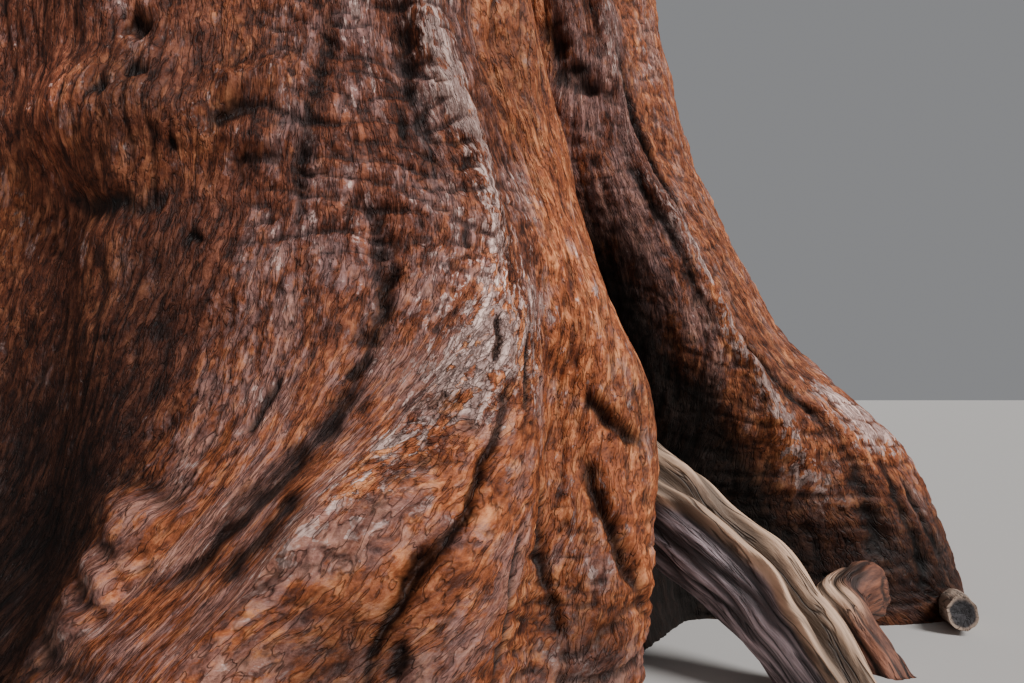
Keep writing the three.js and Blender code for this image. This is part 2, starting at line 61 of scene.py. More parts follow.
# Each row: height, azimuth, half width (degrees), reach beyond the mean section
BUTTRESSES = {
    "right": [
        (0, -9, 10.5, .86), (.33, -9.5, 10.6, .87), (.62, -10.5, 12, .81), (.87, -11.8, 13.2, .63),
        (1.1, -12.5, 15, .46), (1.63, -13, 15, .29), (2.3, -14, 15, .17), (4, -13, 14, .08),
        (8, -12, 14, 0),
    ],
    "strand": [
        (0, -13.5, 5.5, .56), (.3, -14.5, 5.7, .56), (.5, -16.2, 6, .5), (.78, -19.3, 6.6, .42),
        (1.1, -23.6, 7, .3), (1.62, -29.5, 8, .19), (2.15, -33.5, 8, .14), (3.2, -38, 8, .08),
        (7, -42, 8, 0),
    ],
    "strip": [
        (0, -53, 9, .12), (.2, -49.5, 9, .17), (.45, -46, 9, .19), (.65, -42.5, 9, .19),
        (.83, -42, 9, .18), (1.02, -44.7, 9, .15), (1.5, -47, 8.5, .12), (1.93, -50, 8, .11),
        (3, -54, 8, .07), (7, -58, 8, 0),
    ],
    "middle": [
        (0, -68, 21, .18), (.4, -67.5, 19, .2), (.8, -63.5, 18.5, .17), (1.2, -61.5, 20, .11),
        (1.9, -58.5, 16, .08), (3, -57, 14, .06), (8, -57, 12, 0),
    ],
    "crest": [
        (0, -66, 9, .22), (.4, -62, 9, .25), (.79, -58, 9, .22), (1.19, -56, 8, .15),
        (1.88, -59, 7, .12), (3, -62, 7, .08), (7, -66, 7, 0),
    ],
    "sweep": [
        (0, -84, 9, .12), (.3, -79, 9, .14), (.44, -76.5, 9, .17), (.6, -73.5, 9.5, .2),
        (.79, -68, 10, .17), (1, -62, 9, .12), (1.3, -60, 8, .02), (2, -60, 8, 0),
    ],
    "left": [
        (0, -140, 21, .74), (.6, -139, 20, .62), (1.2, -138, 19, .4), (2.2, -137, 17, .2),
        (4, -136, 15, .08), (8, -135, 14, 0),
    ],
    "back_left": [
        (0, -178, 18, .6), (.6, -178, 17, .46), (1.2, -179, 16, .26), (2.2, -180, 15, .12),
        (5, -181, 14, 0),
    ],
    "back": [
        (0, 143, 20, .84), (.7, 143, 19, .7), (1.3, 144, 18, .46), (2.4, 145, 16, .22),
        (4.5, 146, 14, .08), (9, 147, 14, 0),
    ],
    "back_low": [(0, 112, 13, .44), (.5, 112, 12, .32), (1.1, 112, 11, .14), (2.5, 112, 10, 0)],
    "far": [
        (0, 80, 19, .7), (.6, 79, 18, .56), (1.2, 78, 17, .34), (2.3, 77, 15, .16),
        (5, 76, 14, .04), (8, 76, 14, 0),
    ],
    "far_right": [
        (0, 35, 20, .68), (.6, 35, 19, .55), (1.2, 36, 17, .32), (2.3, 37, 15, .15),
        (5, 38, 14, .04), (8, 38, 14, 0),
    ],
}

# Each row: height, azimuth, half width (degrees), depth
HOLLOWS = {
    "cave": [
        (0, -33, 12, .8), (.5, -33.5, 11, .76), (.75, -34, 10, .62), (1, -35, 9, .4),
        (1.3, -38, 8, .3), (1.9, -42, 7, .24), (3, -46, 7, .16), (6, -50, 7, 0),
    ],
    "alcove": [
        (0, -107, 18.5, .6), (.9, -107.5, 19, .56), (1.25, -107, 18, .42), (1.45, -107, 17, .2),
        (2.2, -106, 15, .14), (6, -105, 14, 0),
    ],
}
HOLLOW_EDGE = 1.1

# Each lump: azimuth, height, half width, half height, how far it stands out
LUMPS = [(-86, 1.5, .34, .13, .1), (-38, .3, .12, .12, .06), (-20, .72, .16, .14, .03)]

# Lines that the grain of the bark follows: height and azimuth
GRAIN_LINES = {
    "left": [(0, -140), (6, -137)],
    "recess": [(0, -112), (1.2, -110), (6, -108)],
    "edge": [(0, -94), (.3, -88), (.63, -82), (.93, -78.5), (1.3, -76), (2, -75.5), (6, -75)],
    "flank": [
        (0, -88.5), (.27, -83), (.47, -78.5), (.75, -74), (1.12, -71.5), (1.8, -70.5), (6, -70),
    ],
    "crest": [
        (0, -82), (.27, -77.4), (.41, -74), (.59, -69.9), (.73, -65), (.96, -59), (1.24, -55.5),
        (1.56, -58), (1.83, -60), (3, -62), (6, -65),
    ],
    "block": [
        (0, -69), (.22, -62.3), (.42, -55.5), (.71, -51), (.98, -49.5), (1.27, -50), (1.6, -52.6),
        (1.88, -55.4), (6, -60),
    ],
    "strip": [
        (0, -58), (.15, -54.4), (.4, -50.6), (.71, -46), (.99, -44.4), (1.28, -45), (1.64, -47.6),
        (1.96, -48.5), (3, -52), (6, -56),
    ],
    "cave": [
        (0, -33), (.69, -31.5), (1.02, -32.5), (1.35, -35), (1.68, -38), (2.1, -40), (3, -44),
        (6, -49),
    ],
    "ridge": [
        (0, -20), (.25, -20.2), (.45, -21.5), (.79, -24.5), (1.27, -27.8), (1.62, -31.5),
        (2.2, -34), (3, -38), (6, -43),
    ],
    "outer": [
        (0, -12), (.12, -14.3), (.33, -15), (.69, -17), (1.12, -17.5), (1.73, -19.5), (2.25, -20),
        (6, -22),
    ],
    "right": [(0, 12), (6, 12)],
    "far_right": [(0, 35), (6, 38)],
    "far_valley": [(0, 58), (6, 57)],
    "far": [(0, 80), (6, 76)],
    "back_low": [(0, 112), (6, 112)],
    "back": [(0, 143), (6, 146)],
}
GRAIN_HEIGHT = 1.0
# How softly a zone between two of the lines ends
SOFT = 0.1
SOFT_INNER = 0.12
SOFT_SIDE = 0.15
LENGTH_TOP = 6.0
LENGTH_STEP = 0.01

# Crevices and pockets: depth, half width, and the azimuth and height of each point. Rolls that
# stand out have a depth below zero.
CREVICES = [
    (.018, .028, [(-68, 1.84), (-68.8, 1.67), (-69.9, 1.52), (-70.6, 1.36), (-70.8, 1.2)]),
    (.016, .016, [(-62.7, 1.58), (-62.6, 1.52), (-62.1, 1.43)]),
    (.016, .016, [(-64.3, 1.17), (-64, 1.11), (-65, 1.05), (-65, .96)]),
    (.016, .013, [(-58, 1.23), (-58.1, 1.17)]),
    (.024, .018, [(-65.9, .9), (-67, .87), (-67.9, .84)]),
    (.035, .013, [
        (-57.6, .83), (-58.7, .72), (-59.9, .65), (-61.2, .55), (-62.4, .5), (-64.3, .46),
        (-65.6, .39), (-67.3, .3), (-68, .2),
    ]),
    (.03, .025, [(-62.2, .5), (-64.3, .46), (-65.6, .39)]),
    (.02, .009, [(-54.6, .95), (-55.4, .84), (-56.4, .74)]),
    (.02, .008, [(-57.4, 1.0), (-57.8, .93), (-58.6, .86)]),
    (.02, .01, [(-72.2, .86), (-73.4, .8), (-74.8, .72)]),
    (.018, .01, [(-70, .7), (-72, .62), (-74.6, .54), (-78, .42)]),
    (.02, .01, [(-56.6, .5), (-57.6, .4), (-58.8, .28), (-60, .16)]),
    (.022, .012, [(-52.4, .62), (-52.8, .5), (-53.6, .36), (-54, .22)]),
    (.03, .016, [(-65.4, .32), (-66, .28), (-66.6, .25)]),
    (.024, .018, [(-74.2, .56), (-75.2, .52), (-76.2, .48), (-77.4, .43)]),
    (.03, .02, [(-70.7, .63), (-71.7, .58), (-72.7, .52), (-74.1, .47), (-74.9, .43)]),
    (.034, .02, [(-47.2, .83), (-46.6, .78), (-46, .74), (-44.6, .69), (-43.1, .68)]),
    (.045, .022, [(-48, .65), (-48.1, .6), (-48.3, .54), (-48.3, .46), (-48, .38), (-46, .2)]),
    (.026, .012, [
        (-36.4, 2.2), (-34.4, 1.95), (-32.4, 1.73), (-30.4, 1.55), (-27.6, 1.4), (-25.2, 1.24),
        (-23.2, 1.08), (-21.9, .95), (-20.4, .8), (-18.6, .66), (-17.2, .52),
    ]),
    (.012, .012, [(-33.9, 1.6), (-30.9, 1.4), (-28.4, 1.24), (-25.6, 1.02)]),
    (.022, .012, [(-18.2, .62), (-17.2, .45), (-16.7, .3), (-16.4, .2)]),
    (.02, .011, [(-16.2, .6), (-15.4, .4), (-15, .23), (-14.8, .1)]),
    (.016, .01, [(-14.8, .52), (-14, .36), (-13.6, .2)]),
    (.045, .024, [(-37.8, 1.93), (-36.9, 1.86), (-36.1, 1.8)]),
    (.03, .02, [(-39.9, 2.1), (-38.7, 1.94), (-37.4, 1.8)]),
    (.025, .045, [(-92, 1.3), (-86.8, 1.26), (-83.1, 1.26), (-80.8, 1.3)]),
    (.06, .03, [(-85.6, 1.75), (-83.4, 1.72)]),
    (.035, .024, [(-84.4, 1.61), (-82.8, 1.58)]),
    (.03, .02, [(-86.6, 1.55), (-85.4, 1.53)]),
    (.02, .016, [(-80.8, 1.4), (-80.2, 1.4)]),
    (.02, .016, [(-75.5, 1.39), (-75, 1.38)]),
    (.02, .016, [(-79.3, 1.19), (-77.9, 1.17)]),
    (.028, .024, [(-78.1, 1.45), (-76.6, 1.49), (-74.8, 1.52)]),
    (-.045, .045, [(-78.5, 1.52), (-75.7, 1.58), (-73.3, 1.6), (-70.9, 1.6)]),
    (-.03, .032, [(-76.6, 1.4), (-74.7, 1.43), (-71.6, 1.44)]),
    (.04, .06, [(-65, 1.35), (-64.6, 1.15), (-65.4, .98), (-67, .86)]),
    (.04, .045, [(-66.4, .86), (-69, .74), (-72.5, .62), (-76, .5)]),
    (-.05, .1, [(-80, .62), (-81, .45), (-83, .28)]),
    (.03, .05, [(-62.5, 1.9), (-62, 1.7), (-61, 1.5), (-60.5, 1.3)]),
]
# Painted shade in the crevices: how much darker, and the half width of that shade
CREVICE_SHADE = 1.3
CREVICE_SHADE_HALF = 0.02
CREVICE_LIP = 0.4
CREVICE_LIP_REACH = 3.0
CREVICE_RADIUS = 1.9

# Raised cords of weathered bark, pale with a painted highlight along them: height, half width,
# how pale, and the azimuth and height of each point
CORDS = [
    (.024, .024, .8, [
        (-33.3, 1.76), (-32.4, 1.62), (-31.2, 1.49), (-29.6, 1.38), (-26.9, 1.26), (-24, .99),
        (-22.7, .9), (-21.5, .72), (-20.2, .6), (-18.8, .46), (-17.6, .3),
    ]),
    (.026, .03, .4, [(-37.2, 2.4), (-35.8, 2.12), (-34.6, 1.93), (-33.3, 1.76)]),
    (.03, .042, .45, [
        (-61.4, 2), (-60.8, 1.86), (-59.9, 1.75), (-58.5, 1.64), (-57.1, 1.53), (-56.3, 1.43),
        (-55.7, 1.32), (-55.5, 1.21), (-55.9, 1.1),
    ]),
    (.022, .07, .4, [(-56, 1.14), (-58.5, .98), (-60.5, .86), (-62.5, .76)]),
    (.016, .035, .32, [(-62.5, .76), (-64, .72), (-67.5, .62), (-71.5, .52), (-75, .44)]),
    (.01, .05, .75, [(-19, .93), (-17, .8), (-15.6, .68), (-14.8, .56)]),
]

# Crevices and cords fade to this share over the first and the last part of their length, one in
# so many, and count as far as this many half widths to their side
PATH_END = 0.15
PATH_PARTS = 4
PATH_REACH = 3

# How far out the cave's charred wall, also painted black as the hollow's shade, reaches, by
# height
CAVE_RIM = [
    (0, 2.42), (.19, 2.39), (.37, 2.33), (.58, 2.24), (.79, 2.12), (.89, 2.06), (1.03, 1.98),
    (1.16, 1.92), (1.33, 1.84), (1.7, 1.7),
]
# Azimuths and height at which it starts or ends, and how far it fades there
CAVE_START = (-41.5, 2)
CAVE_END = (-16, 3)
CAVE_TOP = (1.3, 0.3)

# Painted shade and painted light: places painted darker or lighter than the bark round them:
# azimuth, height, half width in degrees, half height, amount
TONES = [
    (-90, .3, 9, .55, -1.4), (-90, 1.0, 9, .3, -.25), (-84.5, 1.56, 3.5, .16, -.8),
    (-91, 1.5, 3.5, .14, .8), (-81, 1.1, 4, .2, -.7), (-80, .3, 4, .25, .55),
    (-68.4, .28, 4, .14, -1.0), (-52, .2, 4, .18, -1.0), (-50.5, 1.75, 4, .25, -.5),
    (-47.5, 1.2, 3.5, .4, .2), (-43, .73, 3, .14, -.4), (-51, .6, 3, .2, -.3),
    (-76, 1.54, 5, .14, -.35), (-56.3, 1.1, 3, .15, .5), (-31, 1.5, 3, .3, -.3),
    (-60, .22, 9, .2, -.2), (-22.5, .9, 2.5, .2, -.4), (-21.5, 1.17, 2, .2, -.3),
    (-16.5, .72, 2.5, .16, .3), (-17.6, .36, 3, .2, -.6), (-14.5, .16, 5, .22, -2.3),
    (-20, .3, 3, .3, -.5),
]

# The trunk's mesh: rows and columns are closer on the side with the cave and the bare root
FRONT_START = -128.0
FRONT_END = 8.0
FRONT_TOP = 2.42
FRONT_ROW = 0.0085
FRONT_COLUMNS = 760
NEAR_START = -104.0
NEAR_END = -46.0
NEAR_DENSITY = 2.0
MIDDLE_END = -8.0
MIDDLE_DENSITY = 1.5
BACK_COLUMNS = 330
BACK_ROW = 0.03
SHAFT_COLUMNS = 300
SHAFT_TOP = 8.0
SHAFT_ROW = 0.07
UPPER_COLUMNS = 150
UPPER_ROWS = 190
SECTION_STEPS = 4096
FULL_TURN = 360
# Where two patches meet, the coarser one runs on under the finer one by this much
LAP = 0.05
LAP_DEPTH = 0.02
LAP_EDGE = 0.003
MOST_FACES = 99000
MOST_SQUEEZE = 4
# How far a point's neighbours reach when it is judged proud or not
PROUD_REACH = 0.02
# The flat cut under the trunk: its rings, from the outline inwards, and its height
BASE_RINGS = (0.998, 0.9, 0.8, 0.7, 0.6, 0.5, 0.4, 0.3, 0.2, 0.1, 0.002)
BASE_HEIGHT = 0.003
RING_SWAY = 0.1

# Crown: each row gives a height and how far the crown reaches there
CROWN = [(12.5, 5.5), (16, 6.7), (21, 6.9), (27, 6.2), (32.5, 5), (36.5, 3.7), (40, 2.2)]
PLAN_SEED = 1000
GROWTH_SEED = 5000
MASSES = 28
TRUNK_MASSES = 5
LOWEST_MASS = 13.4
HIGHEST_MASS = 36.2
TOP_MASS = 38.2
HEIGHT_POWER = 0.86
GOLDEN_ANGLE = math.radians(137.5)
FIRST_AZIMUTH = math.radians(20)
AZIMUTH_JITTER = math.radians(7)
MASS_DEPTH_BASE = 0.42
MASS_DEPTH_SHARE = 0.285
MASS_WIDE_SHARE = 1.44
MASS_TALL_SHARE = 0.92
TOP_MASS_SIZE = 1.8
SIZE_JITTER = 0.07
REACH_JITTER = 0.06
SPACE_GAP = 1.01
FITTING_ROUNDS = 6
BOUGH_RADIUS_BASE = 0.06
BOUGH_RADIUS_SHARE = 0.05
BOUGH_TIP_SHARE = 0.42
BOUGH_COLLAR = 0.45
BOUGH_COLLAR_AT = 0.2
BOUGH_COLLAR_LENGTH = 0.1
BOUGH_RISE_SHARE = 0.2
BOUGH_SAG = 0.09
BOUGH_SAG_AT = 0.5
ENTRY_ELEVATION = math.radians(42)
ENTRY_PULL = 0.38
BOUGH_CURVE_STEPS = 120
BOUGH_STEPS = 60
BOUGH_SIDES = 20
# A bough starts inside the trunk, at this share of the trunk's radius
BOUGH_START_SHARE = 0.6
RIPPLE_SCALE = (9, 9, 2.5)
RIPPLE_SEED = 40
RIPPLE_SHARE = 0.16
RIPPLE_LEVEL = 0.25
STEM_SHARE = 1.05
STEM_TAPER = 0.5
TRUNK_STEM_RADIUS = 0.07
TRUNK_STEM_DROP = 0.5

# Finer growth inside each clump's space
BRANCHES = 26
TWIGS = 3
TUFT_SPRAYS = 34
BRANCH_REACH = 0.6
BRANCH_FOOT = 0.45
BRANCH_FOOT_SPREAD = 0.55
BRANCH_RADIUS = 0.032
TWIG_REACH = 0.84
TWIG_RADIUS = 0.013
LOBE_DEPTH = 0.3
LOBE_SCALE = 1.6
SPRAY_LENGTH = 0.2
SPRAY_LENGTH_BASE = 0.3
SPACE_EDGE = 0.985
BRANCH_SIDES = 5
BRANCH_STEPS = 5
BRANCH_TAPER = 0.55
BRANCH_SAG = 0.12
TWIG_SIDES = 3
TWIG_STEPS = 4
TWIG_TAPER = 0.5
TWIG_SPREAD = 0.42
TWIG_LOSS = 0.14
STEM_STEPS = 6
STEM_SIDES = 6
LOBE_SEED = 80
LOBE_SHIFT = 10
# The first step along a branch at which a twig forks off
FIRST_FORK = 2
# Sprays stand on the outer part of a twig, lean outwards and up, and keep off the trunk
SPRAY_REACH_BACK = 0.75
SPRAY_BACK_POWER = 1.5
SPRAY_LEAN = 0.75
SPRAY_LIFT = 0.3
SPRAY_LEAST = 0.45
SPRAY_CLEAR = 0.05
# How much painted light a spray gets: what facing up adds, and how much it varies
LIGHT_UP = 0.25
LIGHT_JITTER = 0.22
# One spray, as shares of its length
MAIN_CORD_HALF = 0.055
SIDE_CORDS = 5
SIDE_CORD_START = 0.16
SIDE_CORD_STEP = 0.15
SIDE_CORD_ANGLE = 0.72
SIDE_CORD_LENGTH = 0.62
SIDE_CORD_LOSS = 0.085
SIDE_CORD_HALF = 0.05
CORD_RISE = 0.06
FOLD_AT = 0.45
FOLD_HEIGHT = 0.03

# Stage: each light has its angles, strength and width, angles in degrees
GROUND_SIZE = 400.0
FLOOR_COLOUR = (0.46, 0.44, 0.42, 1)
FLOOR_ROUGHNESS = 0.9
SKY_COLOUR = (0.88, 0.89, 0.92, 1)
SKY_STRENGTH = 0.28
LIGHTS = {"key_light": ((46, 0, 52), 4.1, 22), "fill_light": ((65, 0, 10), 0.3, 80)}
CAMERA_PLACE = (1.1, -3.585, 0.8)
CAMERA_TILT = math.radians(94)
CAMERA_LENS = 28
CAMERA_SENSOR = 36
CAMERA_REACH = 1000


# Random numbers: the same draws as in the source, so that both plan the same crown

def seeded(seed):
    state = seed & 0xffffffff

    def draw():
        nonlocal state
        state = (state + 0x6d2b79f5) & 0xffffffff
        t = state
        t = ((t ^ (t >> 15)) * (t | 1)) & 0xffffffff
        t ^= (t + (((t ^ (t >> 7)) * (t | 61)) & 0xffffffff)) & 0xffffffff
        return ((t ^ (t >> 14)) & 0xffffffff) / 4294967296

    return draw


# Noise over whole arrays of points

NOISE_GAIN = 1.6
FAR_AWAY = 9.0
TINY = 1e-9
LEAST_LENGTH = 1e-12
MILLIMETRE = 0.001


def scramble(x, y, z, seed):
    """One whole number below 2**32 for each lattice point."""
    h = x * np.uint32(73856093) ^ y * np.uint32(19349663) ^ z * np.uint32(83492791)
    h = h ^ np.uint32((seed * 2654435761) & 0xffffffff)
    h = (h ^ (h >> np.uint32(13))) * np.uint32(1274126177)
    h = (h ^ (h >> np.uint32(15))) * np.uint32(2246822519)
    return h ^ (h >> np.uint32(16))


def lattice(points):
    cell = np.floor(points)
    near = (points - cell).astype(np.float32)
    return [cell[..., k].astype(np.int64).astype(np.uint32) for k in range(3)], near


def noise(points, seed, scale=1):
    """Smooth noise from about -1 to 1, with so many cells in a metre."""
    (x, y, z), near = lattice(points * scale)
    ease = near ** 3 * (near * (near * 6 - 15) + 10)
    total = np.zeros(near.shape[:-1], np.float32)
    for corner in itertools.product((0, 1), repeat=3):
        h = scramble(x + corner[0], y + corner[1], z + corner[2], seed)
        away = near - np.array(corner, np.float32)
        slope = 0
        for k in range(3):
            slope = slope + ((h >> 10 * k & 1023) / 511.5 - 1) * away[..., k]
        for k in range(3):
            slope = slope * (ease[..., k] if corner[k] else 1 - ease[..., k])
        total += slope
    return total * NOISE_GAIN


def noises(points, seeds, scale=1):
    return np.stack([noise(points, seed, scale) for seed in seeds], -1)


def cells(points, seed):
    """Plates round scattered points: the distance to the plate's edge, its own number, and
    how far up the plate the point lies."""
    (x, y, z), near = lattice(points)
    best = np.full(near.shape[:-1], FAR_AWAY, np.float32)
    second = best.copy()
    number = np.zeros_like(best)
    rise = np.zeros_like(best)
    for step in itertools.product((-1, 0, 1), repeat=3):
        a, b, c = (k % 2 ** 32 for k in step)
        h = scramble(x + a, y + b, z + c, seed)
        away = [near[..., k] - step[k] - (h >> 10 * k & 1023) / 1023 for k in range(3)]
        far = away[0] ** 2 + away[1] ** 2 + away[2] ** 2
        closer = far < best
        second = np.where(closer, best, np.minimum(second, far))
        number = np.where(closer, (h >> 5 & 65535) / 65535, number)
        rise = np.where(closer, away[2], rise)
        best = np.where(closer, far, best)
    return np.sqrt(second) - np.sqrt(best), number, rise


def smooth(value):
    t = np.clip(value, 0, 1)
    return t * t * (3 - 2 * t)


def rising(value, start, width):
    """0 up to the start and 1 beyond the width, smoothly."""
    return smooth((value - start) / width)


def falling(value, start, width):
    return 1 - rising(value, start, width)


def bell(value, half, middle=0.0):
    """1 in the middle and close to 0 two half widths away."""
    return np.exp(-((value - middle) / half) ** 2)


def blur(values, reach):
    """The mean of each point's neighbours on a grid, reach rows and columns away."""
    for axis in (0, 1):
        pad = [(0, 0), (0, 0)]
        pad[axis] = (reach + 1, reach)
        sums = np.cumsum(np.pad(values, pad, mode="edge"), axis=axis)
        size = 2 * reach + 1
        high = np.take(sums, range(size, sums.shape[axis]), axis=axis)
        low = np.take(sums, range(0, sums.shape[axis] - size), axis=axis)
        values = (high - low) / size
    return values


def summed(values):
    """Running sums along each row, from 0."""
    return np.concatenate([np.zeros((len(values), 1)), np.cumsum(values, 1)], 1)


# Trunk form

def turn(angle):
    return (angle + math.pi) % (2 * math.pi) - math.pi


def read_table(rows, z):
    """A table's later columns at heights z, on a smooth curve through its rows."""
    t = np.array(rows, float)
    slope = np.zeros_like(t)
    slope[1:-1] = (t[2:] - t[:-2]) / (t[2:, :1] - t[:-2, :1])
    slope[0] = (t[1] - t[0]) / (t[1, 0] - t[0, 0])
    z = np.clip(z, t[0, 0], t[-1, 0])
    i = np.clip(np.searchsorted(t[:, 0], z, side="right") - 1, 0, len(t) - 2)
    h = t[i + 1, 0] - t[i, 0]
    u = (z - t[i, 0]) / h
    rise = 3 * u ** 2 - 2 * u ** 3
    value = t[i].T * (1 - rise) + t[i + 1].T * rise
    value += slope[i].T * h * (u ** 3 - 2 * u ** 2 + u) + slope[i + 1].T * h * (u ** 3 - u ** 2)
    return value[1:]


def mean_radius(z):
    left = np.clip(1 - z / HEIGHT, 0, 1)
    shaft = SHAFT_RADIUS * left ** SHAFT_POWER + FLARE * np.exp(-z / FLARE_HEIGHT)
    return np.maximum(TIP_RADIUS, shaft)


def round_max(a, b):
    return 0.5 * (a + b + np.hypot(a - b, BLEND * np.minimum(1, a / SHAFT_RADIUS)))


def across(theta, z, rows):
    """How far from a form's middle line, in half widths, and how far the form reaches."""
    azimuth, half, reach = (column.reshape(z.shape) for column in read_table(rows, z.reshape(-1)))
    return turn(theta - np.radians(azimuth)) / np.radians(half), reach


def trunk_radius(theta, z):
    """The trunk's radius at azimuths theta and heights z, which is a column."""
    mean = mean_radius(z)
    r = mean + 0 * theta
    for rows in HOLLOWS.values():
        d, depth = across(theta, z, rows)
        r = r - depth * np.exp(-HOLLOW_EDGE * d ** 4)
    sink = SINK * np.minimum(1, mean / SINK_FULL_RADIUS)
    for rows in BUTTRESSES.values():
        d, reach = across(theta, z, rows)
        r = round_max(r, mean - sink + (reach + sink) * np.sqrt(np.clip(1 - d * d, 0, 1)))
    for azimuth, height, half, tall, out in LUMPS:
        d = turn(theta - math.radians(azimuth)) * mean / half
        r = r + out * np.exp(-(d ** 2 + ((z - height) / tall) ** 2))
    return r


def trunk_middle(z):
    share = np.asarray(z) / HEIGHT
    x = LEAN_X * np.sin(LEAN_X_TURN * share) * share
    y = LEAN_Y * (1 - np.cos(LEAN_Y_TURN * share)) * share
    return np.stack([x, y, np.asarray(z, float)], -1)


def section_arcs(z_rows):
    """Dense azimuths, and the length round the section from the first of them, row by row."""
    theta = np.linspace(-math.pi, math.pi, SECTION_STEPS + 1)
    r = trunk_radius(theta[None, :], z_rows[:, None])
    steps = np.hypot(np.diff(r * np.cos(theta)), np.diff(r * np.sin(theta)))
    return theta, summed(steps)


# Grain: a coordinate across the fibres that stays the same along each grain line

def line_arcs(z_rows, theta, arcs):
    """Where each grain line crosses each row, as a length round the section."""
    places = [np.radians(read_table(rows, z_rows)[0]) for rows in GRAIN_LINES.values()]
    crossing = [
        np.array([np.interp(place[j], theta, arcs[j]) for j in range(len(z_rows))])
        for place in places
    ]
    return np.stack(crossing, 1)


def grain_marks():
    """Each grain line's fixed coordinate, and the length of the whole turn."""
    z = np.array([GRAIN_HEIGHT])
    theta, arcs = section_arcs(z)
    return line_arcs(z, theta, arcs)[0], arcs[0, -1]


def grain_lengths():
    """Heights, and how far along itself each grain line has come there."""
    z = np.arange(0, LENGTH_TOP, LENGTH_STEP)
    columns = []
    for rows in GRAIN_LINES.values():
        slope = np.gradient(np.radians(read_table(rows, z)[0]), z) * CREVICE_RADIUS
        gone = np.cumsum(np.hypot(1, slope)) * LENGTH_STEP
        columns.append(gone + GRAIN_HEIGHT - np.interp(GRAIN_HEIGHT, z, gone))
    return z, np.stack(columns, 1)


GRAIN_AT, GRAIN_TURN = grain_marks()
LENGTH_HEIGHTS, LENGTHS = grain_lengths()
LINE = dict(zip(GRAIN_LINES, GRAIN_AT))
GRAIN_RADIUS = GRAIN_TURN / (2 * math.pi)


def grain_coordinate(along, z_rows, theta, arcs):
    """The coordinates across and along the fibres for points at these lengths round each
    section."""
    marks = line_arcs(z_rows, theta, arcs)
    grain = np.empty_like(along)
    length = np.empty_like(along)
    for j in range(len(z_rows)):
        whole = arcs[j, -1]
        places = np.concatenate([[marks[j, -1] - whole], marks[j], [marks[j, 0] + whole]])
        fixed = np.concatenate([[GRAIN_AT[-1] - GRAIN_TURN], GRAIN_AT, [GRAIN_AT[0] + GRAIN_TURN]])
        grain[j] = np.interp(along[j], places, fixed)
        gone = [np.interp(z_rows[j], LENGTH_HEIGHTS, column) for column in LENGTHS.T]
        beyond = max(0, z_rows[j] - LENGTH_HEIGHTS[-1])
        length[j] = beyond + np.interp(along[j], places, [gone[-1], *gone, gone[0]])
    return grain, length


def between(grain, first, last, soft=SOFT):
    """1 between two grain lines and 0 outside them."""
    return rising(grain, LINE[first] - soft / 2, soft) * falling(grain, LINE[last] - soft / 2, soft)


# Grids of points as meshes

def grid_faces(rows, columns):
    """Quads of a grid whose points run row by row."""
    start = (np.arange(rows - 1)[:, None] * columns + np.arange(columns - 1)).reshape(-1, 1)
    return start + np.array([0, 1, columns + 1, columns])


def unit(vectors):
    return vectors / np.maximum(np.linalg.norm(vectors, axis=-1, keepdims=True), LEAST_LENGTH)


def grid_normals(points, closed=False):
    if closed:
        points = np.concatenate([points[:, -3:-1], points, points[:, 1:3]], 1)
    normal = unit(np.cross(np.gradient(points, axis=1), np.gradient(points, axis=0)))
    return normal[:, 2:-2] if closed else normal


def flat_list(values, kind=np.float32):
    return np.ascontiguousarray(values, kind).reshape(-1)


def mesh_piece(name, points, faces, material, normals=None, **attributes):
    """A smooth mesh object. Each attribute has one vector or colour for each point."""
    mesh = bpy.data.meshes.new(name)
    points = points.reshape(-1, 3)
    mesh.vertices.add(len(points))
    mesh.vertices.foreach_set("co", flat_list(points))
    mesh.loops.add(faces.size)
    mesh.loops.foreach_set("vertex_index", flat_list(faces, np.int32))
    mesh.polygons.add(len(faces))
    mesh.polygons.foreach_set("loop_start", np.arange(0, faces.size, faces.shape[1], dtype=np.int32))
    mesh.update(calc_edges=True)
    mesh.shade_smooth()
    if normals is not None:
        mesh.normals_split_custom_set_from_vertices(normals.reshape(-1, 3))
    for key, values in attributes.items():
        kind, field = {3: ("FLOAT_VECTOR", "vector"), 4: ("FLOAT_COLOR", "color")}[values.shape[-1]]
        mesh.attributes.new(key, kind, "POINT").data.foreach_set(field, flat_list(values))
    mesh.materials.append(material)
    piece = bpy.data.objects.new(name, mesh)
    bpy.context.scene.collection.objects.link(piece)
    return piece


def place(piece, slot, *nodes):
    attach(piece, "root")
    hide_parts(*nodes)
    return piece


# Bark relief

# Millimetres of each kind of relief in each zone: long grooves, strands, folds across the grain,
# small folds, plates, strokes
RELIEF = {
    "recess": (6, 5, 1, 1, 2, 2),
    "wrinkled": (3, 2, 11, 5, 3, 1.5),
    "sweep": (2, 1.5, 0, 1.5, 5, 2),
    "strip": (6, 7, 0, 0, 1, 2),
    "foot": (6, 4, 9, 6, 3, 2),
    "right": (5, 3, 5, 2, 4, 2),
    "elsewhere": (6, 4, 1, 1, 3, 3),
}
# Furrows of the first four kinds: seed, cells in a metre across and along the fibres, half width
FURROWS = [
    (4, (10, 10, 1.3), .13), (5, (27, 27, 4), .18), (6, (5.5, 5.5, 16), .2), (14, (14, 14, 34), .22),
]
PLATE_SEED = 7
PLATE_SCALE = (40, 40, 18)
PLATE_RISE = 0.45
PLATE_EDGE = 0.08
PLATE_GROOVE = 0.5
STROKES = (8, (60, 60, 24))
# How the fibres sway: seeds and cells in a metre, then the reach
WARP = ((1, 2, 3), (5, 5, 2.5))
WARP_REACH = 0.03
FINE_WARP = ((11, 12, 13), (24, 24, 12))
FINE_WARP_REACH = 0.006
# Broad swells: seed and cells in a metre, then the height, which is lower beyond the zones
SWELLS = (9, (2.4, 2.4, 1.6))
SWELL_HEIGHT = 0.032
SWELL_LOSS = 0.7
LUMPS_OF_BARK = (15, (7, 7, 4.5))
LUMP_HEIGHT = 0.015
